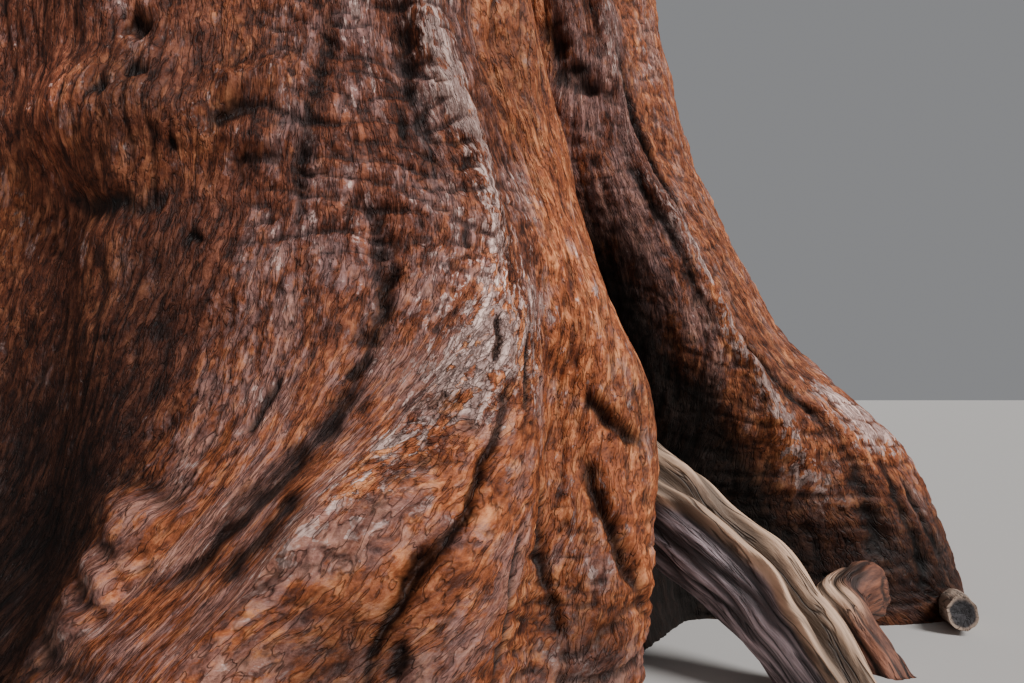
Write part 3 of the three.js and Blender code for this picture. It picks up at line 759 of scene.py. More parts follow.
# Deep furrows beyond the zones
DEEP_FURROWS = (10, (3.4, 3.4, 0.22))
DEEP_FURROW_HEIGHT = 0.07
DEEP_FURROW_SLOPE = 2.6
DEEP_FURROW_LEVEL = 0.7
RELIEF_LIFT = 0.004
# How the paths of crevices and cords stray
RAGS = ((16, 17, 18), 17)
RAG_REACH = 0.007
PATH_SWAY = 0.014
# How uneven they are: mean, share of noise, least and most
CREVICE_UNEVEN = (0.85, 0.35, 0.3, 1.3)
CORD_UNEVEN = (0.8, 0.6, 0.2, 1.3)
CORD_PALE_REACH = 1.2
# Heights at which a change starts, and how far it takes
UPPER_ZONE = (0.95, 0.3)
GNARLED_ZONE = (0.25, 0.5)
ZONES_END = (2, 2)


def zones(grain, z):
    """How far each point belongs to each zone of the bark."""
    upper = rising(z, *UPPER_ZONE)
    middle = between(grain, "edge", "block")
    front = between(grain, "block", "cave")
    gnarled = falling(z, *GNARLED_ZONE)
    share = {
        "recess": between(grain, "left", "edge", SOFT_SIDE),
        "wrinkled": middle * upper,
        "sweep": middle * (1 - upper),
        "strip": front * (1 - gnarled),
        "foot": front * gnarled,
        "right": between(grain, "cave", "right", SOFT_SIDE),
    }
    share = {name: value * falling(z, *ZONES_END) for name, value in share.items()}
    share["elsewhere"] = np.clip(1 - sum(share.values()), 0, 1)
    return share


def path_distance(u, v, points, reach):
    """Where the points lie near a path on the bark, how far from it, how far to its side, and
    how full it is there."""
    line = np.array([(math.radians(azimuth) * CREVICE_RADIUS, height) for azimuth, height in points])
    low, high = line.min(0) - reach, line.max(0) + reach
    near = (u > low[0]) & (u < high[0]) & (v > low[1]) & (v < high[1])
    at = np.stack([u[near], v[near]], -1)
    least = np.full(len(at), FAR_AWAY)
    side = np.zeros(len(at))
    share = np.zeros(len(at))
    for number, (a, b) in enumerate(zip(line[:-1], line[1:])):
        t = np.clip(((at - a) @ (b - a)) / max((b - a) @ (b - a), TINY), 0, 1)
        away = at - a - t[:, None] * (b - a)
        far = np.linalg.norm(away, axis=-1)
        side = np.where(far < least, away[:, 0], side)
        share = np.where(far < least, (number + t) / (len(line) - 1), share)
        least = np.minimum(least, far)
    ends = smooth(PATH_PARTS * share) * smooth(PATH_PARTS * (1 - share))
    return near, least, side, PATH_END + (1 - PATH_END) * ends


def unevenness(value, mean, share, least, most):
    return np.clip(mean + share * value, least, most)


def crevice_depth(theta, z, warp):
    """Depth below the surface from the crevices, the lips that stand up beside them and the
    cords, how pale the cords are with their painted highlight, and the painted shade in the
    crevices."""
    depth = np.zeros_like(theta)
    pale = np.zeros_like(theta)
    dark = np.zeros_like(theta)
    flat = np.stack([theta * CREVICE_RADIUS, z, 0 * z], -1)
    ragged = noises(flat, *RAGS)
    u = flat[..., 0] + PATH_SWAY * warp[..., 0] + RAG_REACH * ragged[..., 0]
    v = z + PATH_SWAY * warp[..., 1] + RAG_REACH * ragged[..., 1]
    for deep, half, points in CREVICES:
        reach = PATH_REACH * CREVICE_LIP_REACH * half
        near, far, side, full = path_distance(u, v, points, reach)
        uneven = full * unevenness(ragged[..., 2][near], *CREVICE_UNEVEN)
        depth[near] += deep * uneven * bell(far, half)
        if deep > 0:
            # Painted shade inside the crevice
            shade = np.minimum(uneven, 1) * bell(far, min(half, CREVICE_SHADE_HALF))
            dark[near] = np.maximum(dark[near], shade)
            lip = smooth(0.5 + side / half) * bell(far, CREVICE_LIP_REACH * half)
            depth[near] -= CREVICE_LIP * deep * lip * full
    for height, half, amount, points in CORDS:
        near, far, _, full = path_distance(u, v, points, PATH_REACH * half)
        uneven = full * unevenness(warp[..., 2][near], *CORD_UNEVEN)
        depth[near] -= height * uneven * bell(far, half)
        pale[near] = np.maximum(pale[near], amount * full * bell(far, CORD_PALE_REACH * half))
    return depth, pale, dark


def bark_relief(q, grain, theta, z, squeeze):
    """Height of the bark above the smooth form, its fine part, how pale its cords are with their
    painted highlight, and the painted shade in its crevices. Where the fibres run closer by
    squeeze, the fine part is lower."""
    warp = noises(q, *WARP)
    wavy = q + WARP_REACH * warp + FINE_WARP_REACH * noises(q, *FINE_WARP)
    edge, number, rise = cells(wavy * PLATE_SCALE, PLATE_SEED)
    kinds = [-bell(noise(wavy, seed, scale), half) for seed, scale, half in FURROWS]
    kinds.append(number - 0.5 - PLATE_RISE * rise - PLATE_GROOVE * bell(edge, PLATE_EDGE))
    kinds.append(noise(wavy, *STROKES))
    share = zones(grain, z)
    detail = np.zeros_like(grain)
    for name, amounts in RELIEF.items():
        for amount, kind in zip(amounts, kinds):
            detail += MILLIMETRE * amount * share[name] * kind / squeeze
    beyond = share["elsewhere"]
    furrows = np.minimum(1, DEEP_FURROW_SLOPE * np.abs(noise(wavy, *DEEP_FURROWS)))
    height = SWELL_HEIGHT * noise(q, *SWELLS) * (1 - SWELL_LOSS * beyond)
    height += LUMP_HEIGHT * noise(q, *LUMPS_OF_BARK)
    height += DEEP_FURROW_HEIGHT * beyond * (furrows - DEEP_FURROW_LEVEL)
    crevices, pale, dark = crevice_depth(theta + 0 * z, z + 0 * theta, warp)
    return height + detail + RELIEF_LIFT - crevices, detail - crevices, pale, dark


# What each mask is made of: its base value, and how much of each zone and field goes into it
MASKS = {
    # Pale: weathered bark, with painted highlights and sheen on the crest, cords, hump and tops
    "pale": (0, {
        "crest": .24, "spill": .44, "cords": .75, "wrinkled": .14, "hump_highlight": .6, "up_highlight": .1,
        "patch": .25,
    }),
    "fresh": (.15, {
        "strip": .75, "foot": .75, "right": .45, "sweep": .22, "elsewhere": .25, "recess": -.05,
        "inner": -.38, "patch": .22, "wide": .3, "block": .4,
    }),
    # Where the painted lilac sheen lies
    "lilac_sheen": (.35, {
        "sweep": .3, "wrinkled": .2, "recess": -.7, "strip": -.3, "inner": .4, "patch": .5,
    }),
    "flaky": (-.3, {"upper_crest": 1.3, "spill": 1.3}),
    "proud": (.5, {"close": .25, "broad": .3}),
    "shade": (-.8, {"patch": .7, "wide": .5}),
    "root_height": (-.018, {
        "ridge": .03, "low_ridge": .0165, "ledge": .034, "dip": -.022, "swells": .016,
        "flank": -.006, "long": -.016, "fine": -.005,
    }),
    # Painted shade in the bare root's furrows and its dip
    "root_furrow": (0, {"long": .8, "fine": .35, "dip_shade": .7}),
    "root_pale": (0, {"pale_ledge": 1, "pale_ridge": 1}),
    "knee_height": (0, {"swells": .02, "grain": .006, "bump": .02, "furrows": -.008}),
}
# Noise in the masks: seed and cells in a metre
PATCH = (21, (7, 7, 3))
WIDE = (22, (2.6, 2.6, 1.5))
# Half width and middle of the crest and of the pale spill below it, across the grain and
# upwards. Both are weathered flakes with a painted sheen
CREST = (0.07, 0.03)
CREST_RISE = (0.42, 0.3)
CREST_FLAKY_END = (1.2, 0.3)
SPILL = (0.17, 0.15)
SPILL_UP = (0.24, 0.95)
# The hump at the right, pale with a painted highlight: half width and middle in degrees and
# in height
HUMP_HIGHLIGHT = (2.5, -16.5)
HUMP_HIGHLIGHT_UP = (0.14, 0.72)
# The least difference of height that counts as proud, close by and further off
PROUD_CLOSE = 0.003
PROUD_BROAD = 0.009
BROAD_CELLS = 4
RECESS_PALE_LOSS = 0.8
CAVE_RIM_SWAY = 0.07
# Painted highlight on bark that faces up: where it starts and how far it takes
UP_HIGHLIGHT = (0.1, 0.5)
BLOCK_FADE = (0.8, 0.6)
RECESS_FADE = (0.55, 0.6)
# The charred wall, also painted black as the hollow's shade: where its edge starts beyond the
# rim, and how far it fades
CHAR_AND_SHADE_EDGE = (-0.21, 0.24)


def mask(field, name):
    base, amounts = MASKS[name]
    return base + sum(amount * field[key] for key, amount in amounts.items())


def bark_masks(q, grain, theta, z, r, detail, up, cell, cords, crevices):
    """Colour masks: weathered pale with painted highlights and sheen, fresh orange, proud of its
    neighbours, charred and painted black as the cave's shade. And tints: painted light and
    shade of the place, how flaky, and how much painted lilac sheen it has."""
    azimuth = np.degrees(theta)
    side = grain - LINE["crest"]
    field = zones(grain, z)
    field["cords"] = cords
    field["close"] = np.tanh((detail - blur(detail, cell)) / PROUD_CLOSE)
    field["broad"] = np.tanh((detail - blur(detail, BROAD_CELLS * cell)) / PROUD_BROAD)
    field["patch"] = noise(q, *PATCH)
    field["wide"] = noise(q, *WIDE)
    field["up_highlight"] = rising(up, *UP_HIGHLIGHT)
    field["crest"] = bell(side, *CREST) * rising(z, *CREST_RISE)
    field["upper_crest"] = field["crest"] * falling(z, *CREST_FLAKY_END)
    field["spill"] = bell(side, *SPILL) * bell(z, *SPILL_UP)
    field["hump_highlight"] = bell(azimuth, *HUMP_HIGHLIGHT) * bell(z, *HUMP_HIGHLIGHT_UP)
    field["inner"] = between(grain, "cave", "ridge", SOFT_INNER) * field["right"]
    field["block"] = between(grain, "crest", "block") * falling(z, *BLOCK_FADE)
    pale = mask(field, "pale") * (1 - RECESS_PALE_LOSS * field["recess"])
    # Painted shade: the recess is darkened low down, and so is the inside of each crevice
    recess = between(grain, "left", "edge", SOFT_INNER) * falling(z, *RECESS_FADE)
    painted_shading = mask(field, "shade") * recess - CREVICE_SHADE * crevices
    # Painted shade and painted light of the places in TONES
    for middle, height, half, tall, amount in TONES:
        painted_shading += amount * bell(azimuth, half, middle) * bell(z, tall, height)
    rim = read_table(CAVE_RIM, z.reshape(-1))[0].reshape(z.shape) + CAVE_RIM_SWAY * field["patch"]
    char_and_shade = falling(r - rim, *CHAR_AND_SHADE_EDGE) * falling(z, *CAVE_TOP)
    char_and_shade = char_and_shade * rising(azimuth, *CAVE_START) * falling(azimuth, *CAVE_END)
    masks = np.stack([pale, mask(field, "fresh"), mask(field, "proud"), char_and_shade], -1)
    tints = np.stack([np.exp(painted_shading), mask(field, "flaky"), mask(field, "lilac_sheen")], -1)
    tints[..., 1:] = np.clip(tints[..., 1:], 0, 1)
    return np.clip(masks, 0, 1), tints


def trunk_patch(z_rows, start, end, columns, density=np.ones_like):
    """The trunk's bark between two azimuths: points, normals, grain points, masks and tints."""
    theta, arcs = section_arcs(z_rows)
    weight = density(theta)
    weighted = summed(np.diff(arcs) * 0.5 * (weight[1:] + weight[:-1]))
    share = np.linspace(0, 1, columns)
    azimuth = np.empty((len(z_rows), columns))
    along = np.empty_like(azimuth)
    for j in range(len(z_rows)):
        first, last = np.interp(np.radians([start, end]), theta, weighted[j])
        azimuth[j] = np.interp(first + (last - first) * share, weighted[j], theta)
        along[j] = np.interp(azimuth[j], theta, arcs[j])
    z = z_rows[:, None]
    grain, length = grain_coordinate(along, z_rows, theta, arcs)
    phi = grain / GRAIN_RADIUS
    q = np.stack([GRAIN_RADIUS * np.cos(phi), GRAIN_RADIUS * np.sin(phi), length], -1)
    r = trunk_radius(azimuth, z)
    ring = np.stack([r * np.cos(azimuth), r * np.sin(azimuth), 0 * r], -1)
    points = ring + trunk_middle(z + 0 * azimuth)
    closed = end - start == FULL_TURN
    normals = grid_normals(points, closed)
    slant = np.gradient(grain, axis=0) / np.gradient(z_rows)[:, None]
    closer = np.gradient(grain, axis=1) / np.gradient(along, axis=1)
    squeeze = np.clip(np.hypot(slant, closer), 1, MOST_SQUEEZE)
    height, detail, *marks = bark_relief(q, grain, azimuth, z, squeeze)
    size = np.minimum(1, mean_radius(z) / SHAFT_RADIUS)
    moved = points + normals * (height * size)[..., None]
    moved[..., 2] = np.maximum(moved[..., 2], 0)
    moved[z_rows <= 0, :, 2] = 0
    cell = max(2, round(PROUD_REACH / max(z_rows[1] - z_rows[0], PROUD_REACH / 2)))
    masks, tints = bark_masks(q, grain, azimuth, z, r, detail, normals[..., 2], cell, *marks)
    return moved, normals, {"grain": q, "masks": masks, "tints": tints}, closed


def trunk_pieces(name, patch, material, sinks=()):
    """Cuts a patch into bands of rows that each stay under the limit of faces. Each sink is a
    place in the patch and how deep it lies under its neighbour there."""
    points, normals, marks, closed = patch
    sink = np.zeros(points.shape[:2])
    for place_in, depth in sinks:
        sink[place_in] = depth
    points = points - normals * sink[..., None]
    points[..., 2] = np.maximum(points[..., 2], 0)
    shading = grid_normals(points, closed)
    rows, columns = points.shape[:2]
    bands = math.ceil((rows - 1) * (columns - 1) / MOST_FACES)
    cuts = np.linspace(0, rows - 1, bands + 1).round().astype(int)
    for number, (low, high) in enumerate(zip(cuts[:-1], cuts[1:]), 1):
        part = slice(low, high + 1)
        piece = mesh_piece(
            f"{name}_{number}" if bands > 1 else name, points[part],
            grid_faces(high + 1 - low, columns), material, shading[part],
            **{key: values[part] for key, values in marks.items()},
        )
        place(piece, "bark", "trunk")


def front_density(theta):
    azimuth = np.degrees(theta)
    near = (azimuth > NEAR_START) & (azimuth < NEAR_END)
    middle = (azimuth >= NEAR_END) & (azimuth < MIDDLE_END)
    return np.where(near, NEAR_DENSITY, np.where(middle, MIDDLE_DENSITY, 1.0))


def build_trunk(material):
    front_rows = np.arange(0, FRONT_TOP, FRONT_ROW)
    front = trunk_patch(front_rows, FRONT_START, FRONT_END, FRONT_COLUMNS, front_density)
    trunk_pieces("trunk_front", front, material)
    right, left = build_back(material)
    build_base(np.concatenate([front[0][0], right[2:-1], left[:-2]]))
    shaft_rows = np.arange(FRONT_TOP, SHAFT_TOP, SHAFT_ROW)
    shaft_rows = np.concatenate([[FRONT_TOP - LAP], shaft_rows, [SHAFT_TOP]])
    shaft = trunk_patch(shaft_rows, -FULL_TURN / 2, FULL_TURN / 2, SHAFT_COLUMNS)
    trunk_pieces("trunk_shaft", shaft, material, [(0, LAP_DEPTH)])
    share = np.linspace(0, 1, UPPER_ROWS)
    upper_rows = np.concatenate([[SHAFT_TOP - LAP], SHAFT_TOP + (TRUNK_TOP - SHAFT_TOP) * share])
    upper = trunk_patch(upper_rows, -FULL_TURN / 2, FULL_TURN / 2, UPPER_COLUMNS)
    upper[0][-1] = upper[0][-1].mean(0)
    trunk_pieces("trunk_upper", upper, material, [(0, LAP_DEPTH)])


def build_back(material):
    """The foot's other side, whose ends run on under the front."""
    rows = np.append(np.arange(0, FRONT_TOP, BACK_ROW), FRONT_TOP)
    lap = math.degrees(LAP / SHAFT_RADIUS)
    outlines = []
    for side, start, end, first, second in (
        ("right", FRONT_END - lap, 180, 0, 1), ("left", -180, FRONT_START + lap, -1, -2),
    ):
        patch = trunk_patch(rows, start, end, BACK_COLUMNS // 2)
        sinks = [(np.s_[:, first], LAP_DEPTH), (np.s_[:, second], LAP_EDGE)]
        trunk_pieces(f"trunk_back_{side}", patch, material, sinks)
        outlines.append(patch[0][0])
    return outlines


def build_base(outline):
    """The flat cut at the ground, with growth rings."""
    points = outline * np.array(BASE_RINGS)[:, None, None]
    points[..., 2] = BASE_HEIGHT
    points = np.concatenate([points, points[:, :1]], 1)
    far = np.linalg.norm(points, axis=-1)
    q = np.stack([far, RING_SWAY * points[..., 0], RING_SWAY * points[..., 1]], -1)
    faces = grid_faces(*points.shape[:2])[:, ::-1]
    place(mesh_piece("trunk_base", points, faces, limb_material("cut_wood"), grain=q), "bark", "trunk")


# Materials

class Nodes:
    """The nodes of one material. An input takes a value or another node's socket."""

    def __init__(self, name):
        self.material = bpy.data.materials.new(name)
        self.material.use_nodes = True
        self.tree = self.material.node_tree
        self.inputs = self.tree.nodes["Principled BSDF"].inputs

    def set(self, socket, value):
        if isinstance(value, bpy.types.NodeSocket):
            self.tree.links.new(value, socket)
        else:
            socket.default_value = value

    def add(self, kind, inputs, **settings):
        node = self.tree.nodes.new(kind)
        for key, value in settings.items():
            setattr(node, key, value)
        for key, value in inputs.items():
            self.set(node.inputs[key], value)
        return node

    def attribute(self, name):
        return self.add("ShaderNodeAttribute", {}, attribute_name=name)

    def parts(self, colour):
        return self.add("ShaderNodeSeparateColor", {0: colour}).outputs

    def scaled(self, vector, across, along):
        values = {"Vector": vector, "Scale": (across, across, along)}
        return self.add("ShaderNodeMapping", values).outputs[0]

    def noise(self, vector, across, along, detail, rough=0.6, output=0):
        """Noise with so many cells in a metre across and along the fibres."""
        vector = self.scaled(vector, across, along)
        values = {"Vector": vector, "Scale": 1.0, "Detail": detail, "Roughness": rough}
        return self.add("ShaderNodeTexNoise", values).outputs[output]

    def plates(self, vector, feature):
        return self.add("ShaderNodeTexVoronoi", {"Vector": vector, "Scale": 1.0}, feature=feature)

    def span(self, value, low, high, first=0.0, last=1.0):
        values = {"Value": value, "From Min": low, "From Max": high, "To Min": first, "To Max": last}
        return self.add("ShaderNodeMapRange", values, interpolation_type="SMOOTHSTEP").outputs[0]

    def calc(self, operation, first, second=0.0):
        return self.add("ShaderNodeMath", {0: first, 1: second}, operation=operation).outputs[0]

    def times(self, first, second):
        return self.calc("MULTIPLY", first, second)

    def move(self, operation, first, second):
        return self.add("ShaderNodeVectorMath", {0: first, **second}, operation=operation).outputs[0]

    def line(self, value):
        """0 on the lines where noise crosses its middle."""
        return self.calc("ABSOLUTE", self.calc("SUBTRACT", value, 0.5))

    def mixed(self, factor, first, second, blend="MIX"):
        node = self.add("ShaderNodeMix", {}, data_type="RGBA", blend_type=blend, clamp_result=True)
        for index, value in ((0, factor), (6, first), (7, second)):
            self.set(node.inputs[index], (*value, 1.0) if isinstance(value, tuple) else value)
        return node.outputs[2]

    def ramp(self, value, stops):
        """Colours by value: each stop is a place and a colour."""
        node = self.add("ShaderNodeValToRGB", {0: value})
        elements = node.color_ramp.elements
        while len(elements) < len(stops):
            elements.new(0.5)
        for element, (at, colour) in zip(elements, stops):
            element.position = at
            element.color = (*colour, 1.0)
        return node.outputs[0]

    def shaded(self, colour, amount):
        grey = self.add("ShaderNodeCombineColor", {0: amount, 1: amount, 2: amount}).outputs[0]
        return self.mixed(1.0, colour, grey, "MULTIPLY")

    def shifted(self, vector, across, along, amount):
        """The vector moved about by noise."""
        sway = self.noise(vector, across, along, 2, output="Color")
        sway = self.move("SUBTRACT", sway, {1: (0.5, 0.5, 0.5)})
        return self.move("ADD", vector, {1: self.move("SCALE", sway, {"Scale": amount})})

    def weighed(self, *terms):
        """The sum of values, each times its weight."""
        total = 0.0
        for value, weight in terms:
            total = self.calc("ADD", total, self.times(value, weight))
        return total

    def finish(self, colour, rough, height, depth):
        self.set(self.inputs["Base Color"], colour)
        self.set(self.inputs["Roughness"], rough)
        if height is not None:
            values = {"Height": height, "Strength": 1.0, "Distance": depth}
            self.set(self.inputs["Normal"], self.add("ShaderNodeBump", values).outputs[0])
        return self.material


# The bark's noises: cells in a metre across and along the fibres, detail, roughness
BARK_NOISES = {
    "stroke": (230, 80, 3, .62), "plate": (66, 13, 2, .55), "sheen": (72, 42, 3, .65),
    "patch": (12, 7, 2, .6), "split": (26, 5, 2, .55),
}
BARK_BEND = (14, 7, 0.035)
BARK_RAG = (110, 70, 0.016)
BLOTCHES = (30, 20, 3, 0.7)
BROAD = (3.4, 1.9, 1, 0.6)
FLAKES = (82, 30)
# The bark's colours, each from dark to light by its fibres' mix; the dark end is painted shade
# between the fibres
DULL = ((.62, (.030, .008, .004)), (.77, (.135, .035, .016)), (.93, (.32, .105, .054)))
BRIGHT = ((.62, (.115, .028, .011)), (.77, (.38, .105, .036)), (.93, (.72, .285, .12)))
# Lilac: a painted sheen of the sky on wet bark
LILAC_SHEEN = ((.25, (.085, .044, .040)), (.45, (.36, .215, .205)))
# Grey: weathered bark with a painted sheen of the sky
GREY_WORN_AND_SHEEN = ((.25, (.20, .115, .095)), (.35, (.42, .27, .235)), (.46, (.80, .55, .47)))
CHARRED_AND_SHADE = (0.006, 0.005, 0.004)
CHARRED_AND_SHADE_SHARE = 0.96
LILAC_SHEEN_SHARE = 0.62
# What each mix of fields is made of
MIXES = {
    "fibre": {"stroke": .27, "plate": .43},
    "depth": {"fibre": 1, "blotch": .55, "patch": .3, "flecks": .25},
    "orange": {"fresh": 1, "broad": .8, "own_fresh": .1, "blotch": .6, "patch": .6},
    "lilac_sheen": {"sheen": .5, "patch": 1.1, "own_pale": .14, "lilac_sheen": .3},
    "worn_and_sheen": {"pale": .9, "own_pale": .6, "sheen": 1.2, "patch": .8},
    "rough": {"worn_and_sheen_rough": 1, "char_and_shade": .4},
    "height": {"stroke": .6, "plate": 1.1, "rim": -.9, "line_cut": 1, "split_cut": 1},
}
# Where a field starts and stops to count, and the values it has there
SPANS = {
    "orange": (1.05, 1.9), "lilac_sheen": (.95, 1.15), "worn_and_sheen": (1.68, 1.92), "worn_and_sheen_proud": (.1, .5),
    "rim": (0, .12, .45, 0), "proud_shade": (.05, .6, .3, 1), "split_shade": (0, .03, .68, 1),
    "line_shade": (0, .04, .45, 1), "line_cut": (0, .035, -.25, 0), "split_cut": (0, .03, -.3, 0),
    "worn_and_sheen_rough": (0, 1, .6, .42),
}
BARK_SPECULAR = 0.2
BARK_BUMP = 0.006


def bark_material():
    n = Nodes("bark_red_brown")
    grain = n.attribute("grain").outputs["Vector"]
    masks = n.attribute("masks")
    tints = n.attribute("tints").outputs["Vector"]
    bent = n.shifted(grain, *BARK_BEND)
    ragged = n.shifted(bent, *BARK_RAG)
    flakes = n.scaled(ragged, *FLAKES)
    f = {name: n.noise(bent, *row) for name, row in BARK_NOISES.items()}
    f["blotch"] = n.noise(ragged, *BLOTCHES)
    f["broad"] = n.noise(grain, *BROAD)
    f["char_and_shade"] = masks.outputs["Alpha"]
    f.update(zip(("pale", "fresh", "proud"), n.parts(masks.outputs["Color"])))
    f.update(zip(("painted_shading", "flaky", "lilac_sheen"), n.add("ShaderNodeSeparateXYZ", {0: tints}).outputs))
    f.update(zip(("own", "own_fresh", "own_pale"), n.parts(n.plates(flakes, "F1").outputs["Color"])))

    def spanned(value, name):
        return n.span(value, *SPANS[name])

    def mixture(name):
        return n.weighed(*((f[key], amount) for key, amount in MIXES[name].items()))

    line = n.line(f["plate"])
    split = n.line(f["split"])
    rim = n.plates(flakes, "DISTANCE_TO_EDGE").outputs["Distance"]
    f["flecks"] = n.times(n.calc("SUBTRACT", f["own"], 0.5), f["flaky"])
    f["fibre"] = mixture("fibre")
    f["rim"] = n.times(spanned(rim, "rim"), f["flaky"])
    f["line_cut"] = spanned(line, "line_cut")
    f["split_cut"] = spanned(split, "split_cut")
    # Weathered grey with a painted sheen, on proud bark
    worn_and_sheen = n.times(spanned(mixture("worn_and_sheen"), "worn_and_sheen"), spanned(f["proud"], "worn_and_sheen_proud"))
    f["worn_and_sheen_rough"] = spanned(worn_and_sheen, "worn_and_sheen_rough")

    depth = mixture("depth")
    orange = spanned(mixture("orange"), "orange")
    # Painted lilac sheen
    lilac_sheen = n.times(spanned(mixture("lilac_sheen"), "lilac_sheen"), LILAC_SHEEN_SHARE)
    colour = n.mixed(orange, n.ramp(depth, DULL), n.ramp(depth, BRIGHT))
    colour = n.mixed(lilac_sheen, colour, n.ramp(f["fibre"], LILAC_SHEEN))
    colour = n.mixed(worn_and_sheen, colour, n.ramp(f["fibre"], GREY_WORN_AND_SHEEN))
    # Painted shade: darker in low places of the relief, in splits and lines along the fibres and at
    # the flakes' rims, then the painted light and shade of the tints
    for amount in (
        spanned(f["proud"], "proud_shade"), spanned(split, "split_shade"),
        spanned(line, "line_shade"), n.calc("SUBTRACT", 1.0, f["rim"]), f["painted_shading"],
    ):
        colour = n.shaded(colour, amount)
    # The cave's wall: charred, and painted black as the hollow's shade
    colour = n.mixed(n.times(f["char_and_shade"], CHARRED_AND_SHADE_SHARE), colour, CHARRED_AND_SHADE)
    n.set(n.inputs["Specular IOR Level"], BARK_SPECULAR)
    return n.finish(colour, mixture("rough"), mixture("height"), BARK_BUMP)


# Wood and bark of limbs: dark and light colour, cells in a metre across and along, bump
LIMBS = {
    "cut_wood": ((.20, .09, .045), (.42, .24, .13), 40, 4, 0.002),
    "bough_bark": ((.10, .04, .022), (.30, .13, .07), 26, 4, 0.01),
    "twig_bark": ((.07, .035, .02), (.20, .11, .06), 60, 12, 0.002),
}
# Detail and roughness of the fibres' noise, the span of it that turns dark into light
LIMB_FIBRE = (5, 0.65)
LIMB_SPAN = (0.3, 0.7)
LIMB_ROUGH = 0.8


def limb_material(name):
    """Bark or bare wood of a limb whose grain coordinate runs round and along it."""
    dark, light, across, along, depth = LIMBS[name]
    n = Nodes(name)
    fibre = n.noise(n.attribute("grain").outputs["Vector"], across, along, *LIMB_FIBRE)
    return n.finish(n.mixed(n.span(fibre, *LIMB_SPAN), dark, light), LIMB_ROUGH, fibre, depth)


# Wood of the roots: light and dark, light and dark on its flank, cells in a metre across and
# along, bump
ROOTS = {
    # The bare root's flank: charred dark wood with a painted blue-grey sheen
    "weathered_wood": (
        (.70, .45, .30), (.15, .08, .05), (.60, .46, .48), (.11, .078, .082), 60, 7, 0.008,
    ),
    "knotted_wood": (
        (.85, .56, .38), (.34, .17, .10), (.33, .12, .062), (.07, .022, .012), 60, 16, 0.006,
    ),
    "sawn_wood": (
        (.40, .29, .22), (.13, .09, .07), (.10, .09, .095), (.025, .022, .024), 70, 10, 0.004,
    ),
}
ROOT_BEND = (14, 6, 0.02)
ROOT_PATCHES = (9, 4, 2)
# Noises of the roots' wood: detail and roughness of its fibres, and its lines' share of their
# scale, detail and roughness
ROOT_FIBRE = (5, 0.62)
ROOT_LINES = (0.5, 0.35, 3, 0.5)
# How much fibres, patches and the pale mask count, and the spans in which they act
ROOT_MIX = (0.8, 0.4, 0.2)
ROOT_SPANS = {
    "top": (0.42, 0.78), "flank": (0.45, 0.85), "line": (0, 0.035, 0.35, 1),
    "furrow": (0.1, 0.9, 1, 0.22), "cut": (0, 0.03, -0.5, 0),
}
ROOT_ROUGH = 0.7


def root_material(name):
    """Wood with masks: its furrows, its darker flank, and pale places."""
    light, dark, flank_light, flank_dark, across, along, depth = ROOTS[name]
    n = Nodes(name)
    furrow, flank, pale = n.parts(n.attribute("masks").outputs["Color"])
    bent = n.shifted(n.attribute("grain").outputs["Vector"], *ROOT_BEND)
    fibre = n.noise(bent, across, along, *ROOT_FIBRE)
    line_across, line_along, *rest = ROOT_LINES
    line = n.line(n.noise(bent, line_across * across, line_along * along, *rest))
    shade = n.weighed(*zip((fibre, n.noise(bent, *ROOT_PATCHES), pale), ROOT_MIX))
    top = n.mixed(n.span(shade, *ROOT_SPANS["top"]), dark, light)
    side = n.mixed(n.span(shade, *ROOT_SPANS["flank"]), flank_dark, flank_light)
    # Painted shade in the wood's fine lines
    colour = n.shaded(n.mixed(flank, top, side), n.span(line, *ROOT_SPANS["line"]))
    # The furrow mask darkens: painted shade in the furrows of the bare and knee roots, the stub's dark
    # heart
    colour = n.shaded(colour, n.span(furrow, *ROOT_SPANS["furrow"]))
    height = n.calc("ADD", fibre, n.span(line, *ROOT_SPANS["cut"]))
    return n.finish(colour, ROOT_ROUGH, height, depth)


# Patches in the needles' colour: cells in a metre, detail and roughness, and the span of them
# that turns dark into light
NEEDLE_PATCHES = (1.3, 1.3, 2, 0.5)
NEEDLE_SPAN = (0.35, 0.65)
NEEDLE_DARK = 0.7
NEEDLE_ROUGH = 0.65


def needle_material(name, colour):
    n = Nodes(name)
    patch = n.noise(n.add("ShaderNodeTexCoord", {}).outputs["Object"], *NEEDLE_PATCHES)
    dark = tuple(NEEDLE_DARK * part for part in colour)
    return n.finish(n.mixed(n.span(patch, *NEEDLE_SPAN), dark, colour), NEEDLE_ROUGH, None, 0)


# Limbs: tubes round paths

CAP_RINGS = (0.97, 0.9, 0.75, 0.6, 0.45, 0.3, 0.15, 0.01)
CAP_DEPTH = -0.01
# The share of a path's length that it rises from which it counts as upright
STEEP = 0.8


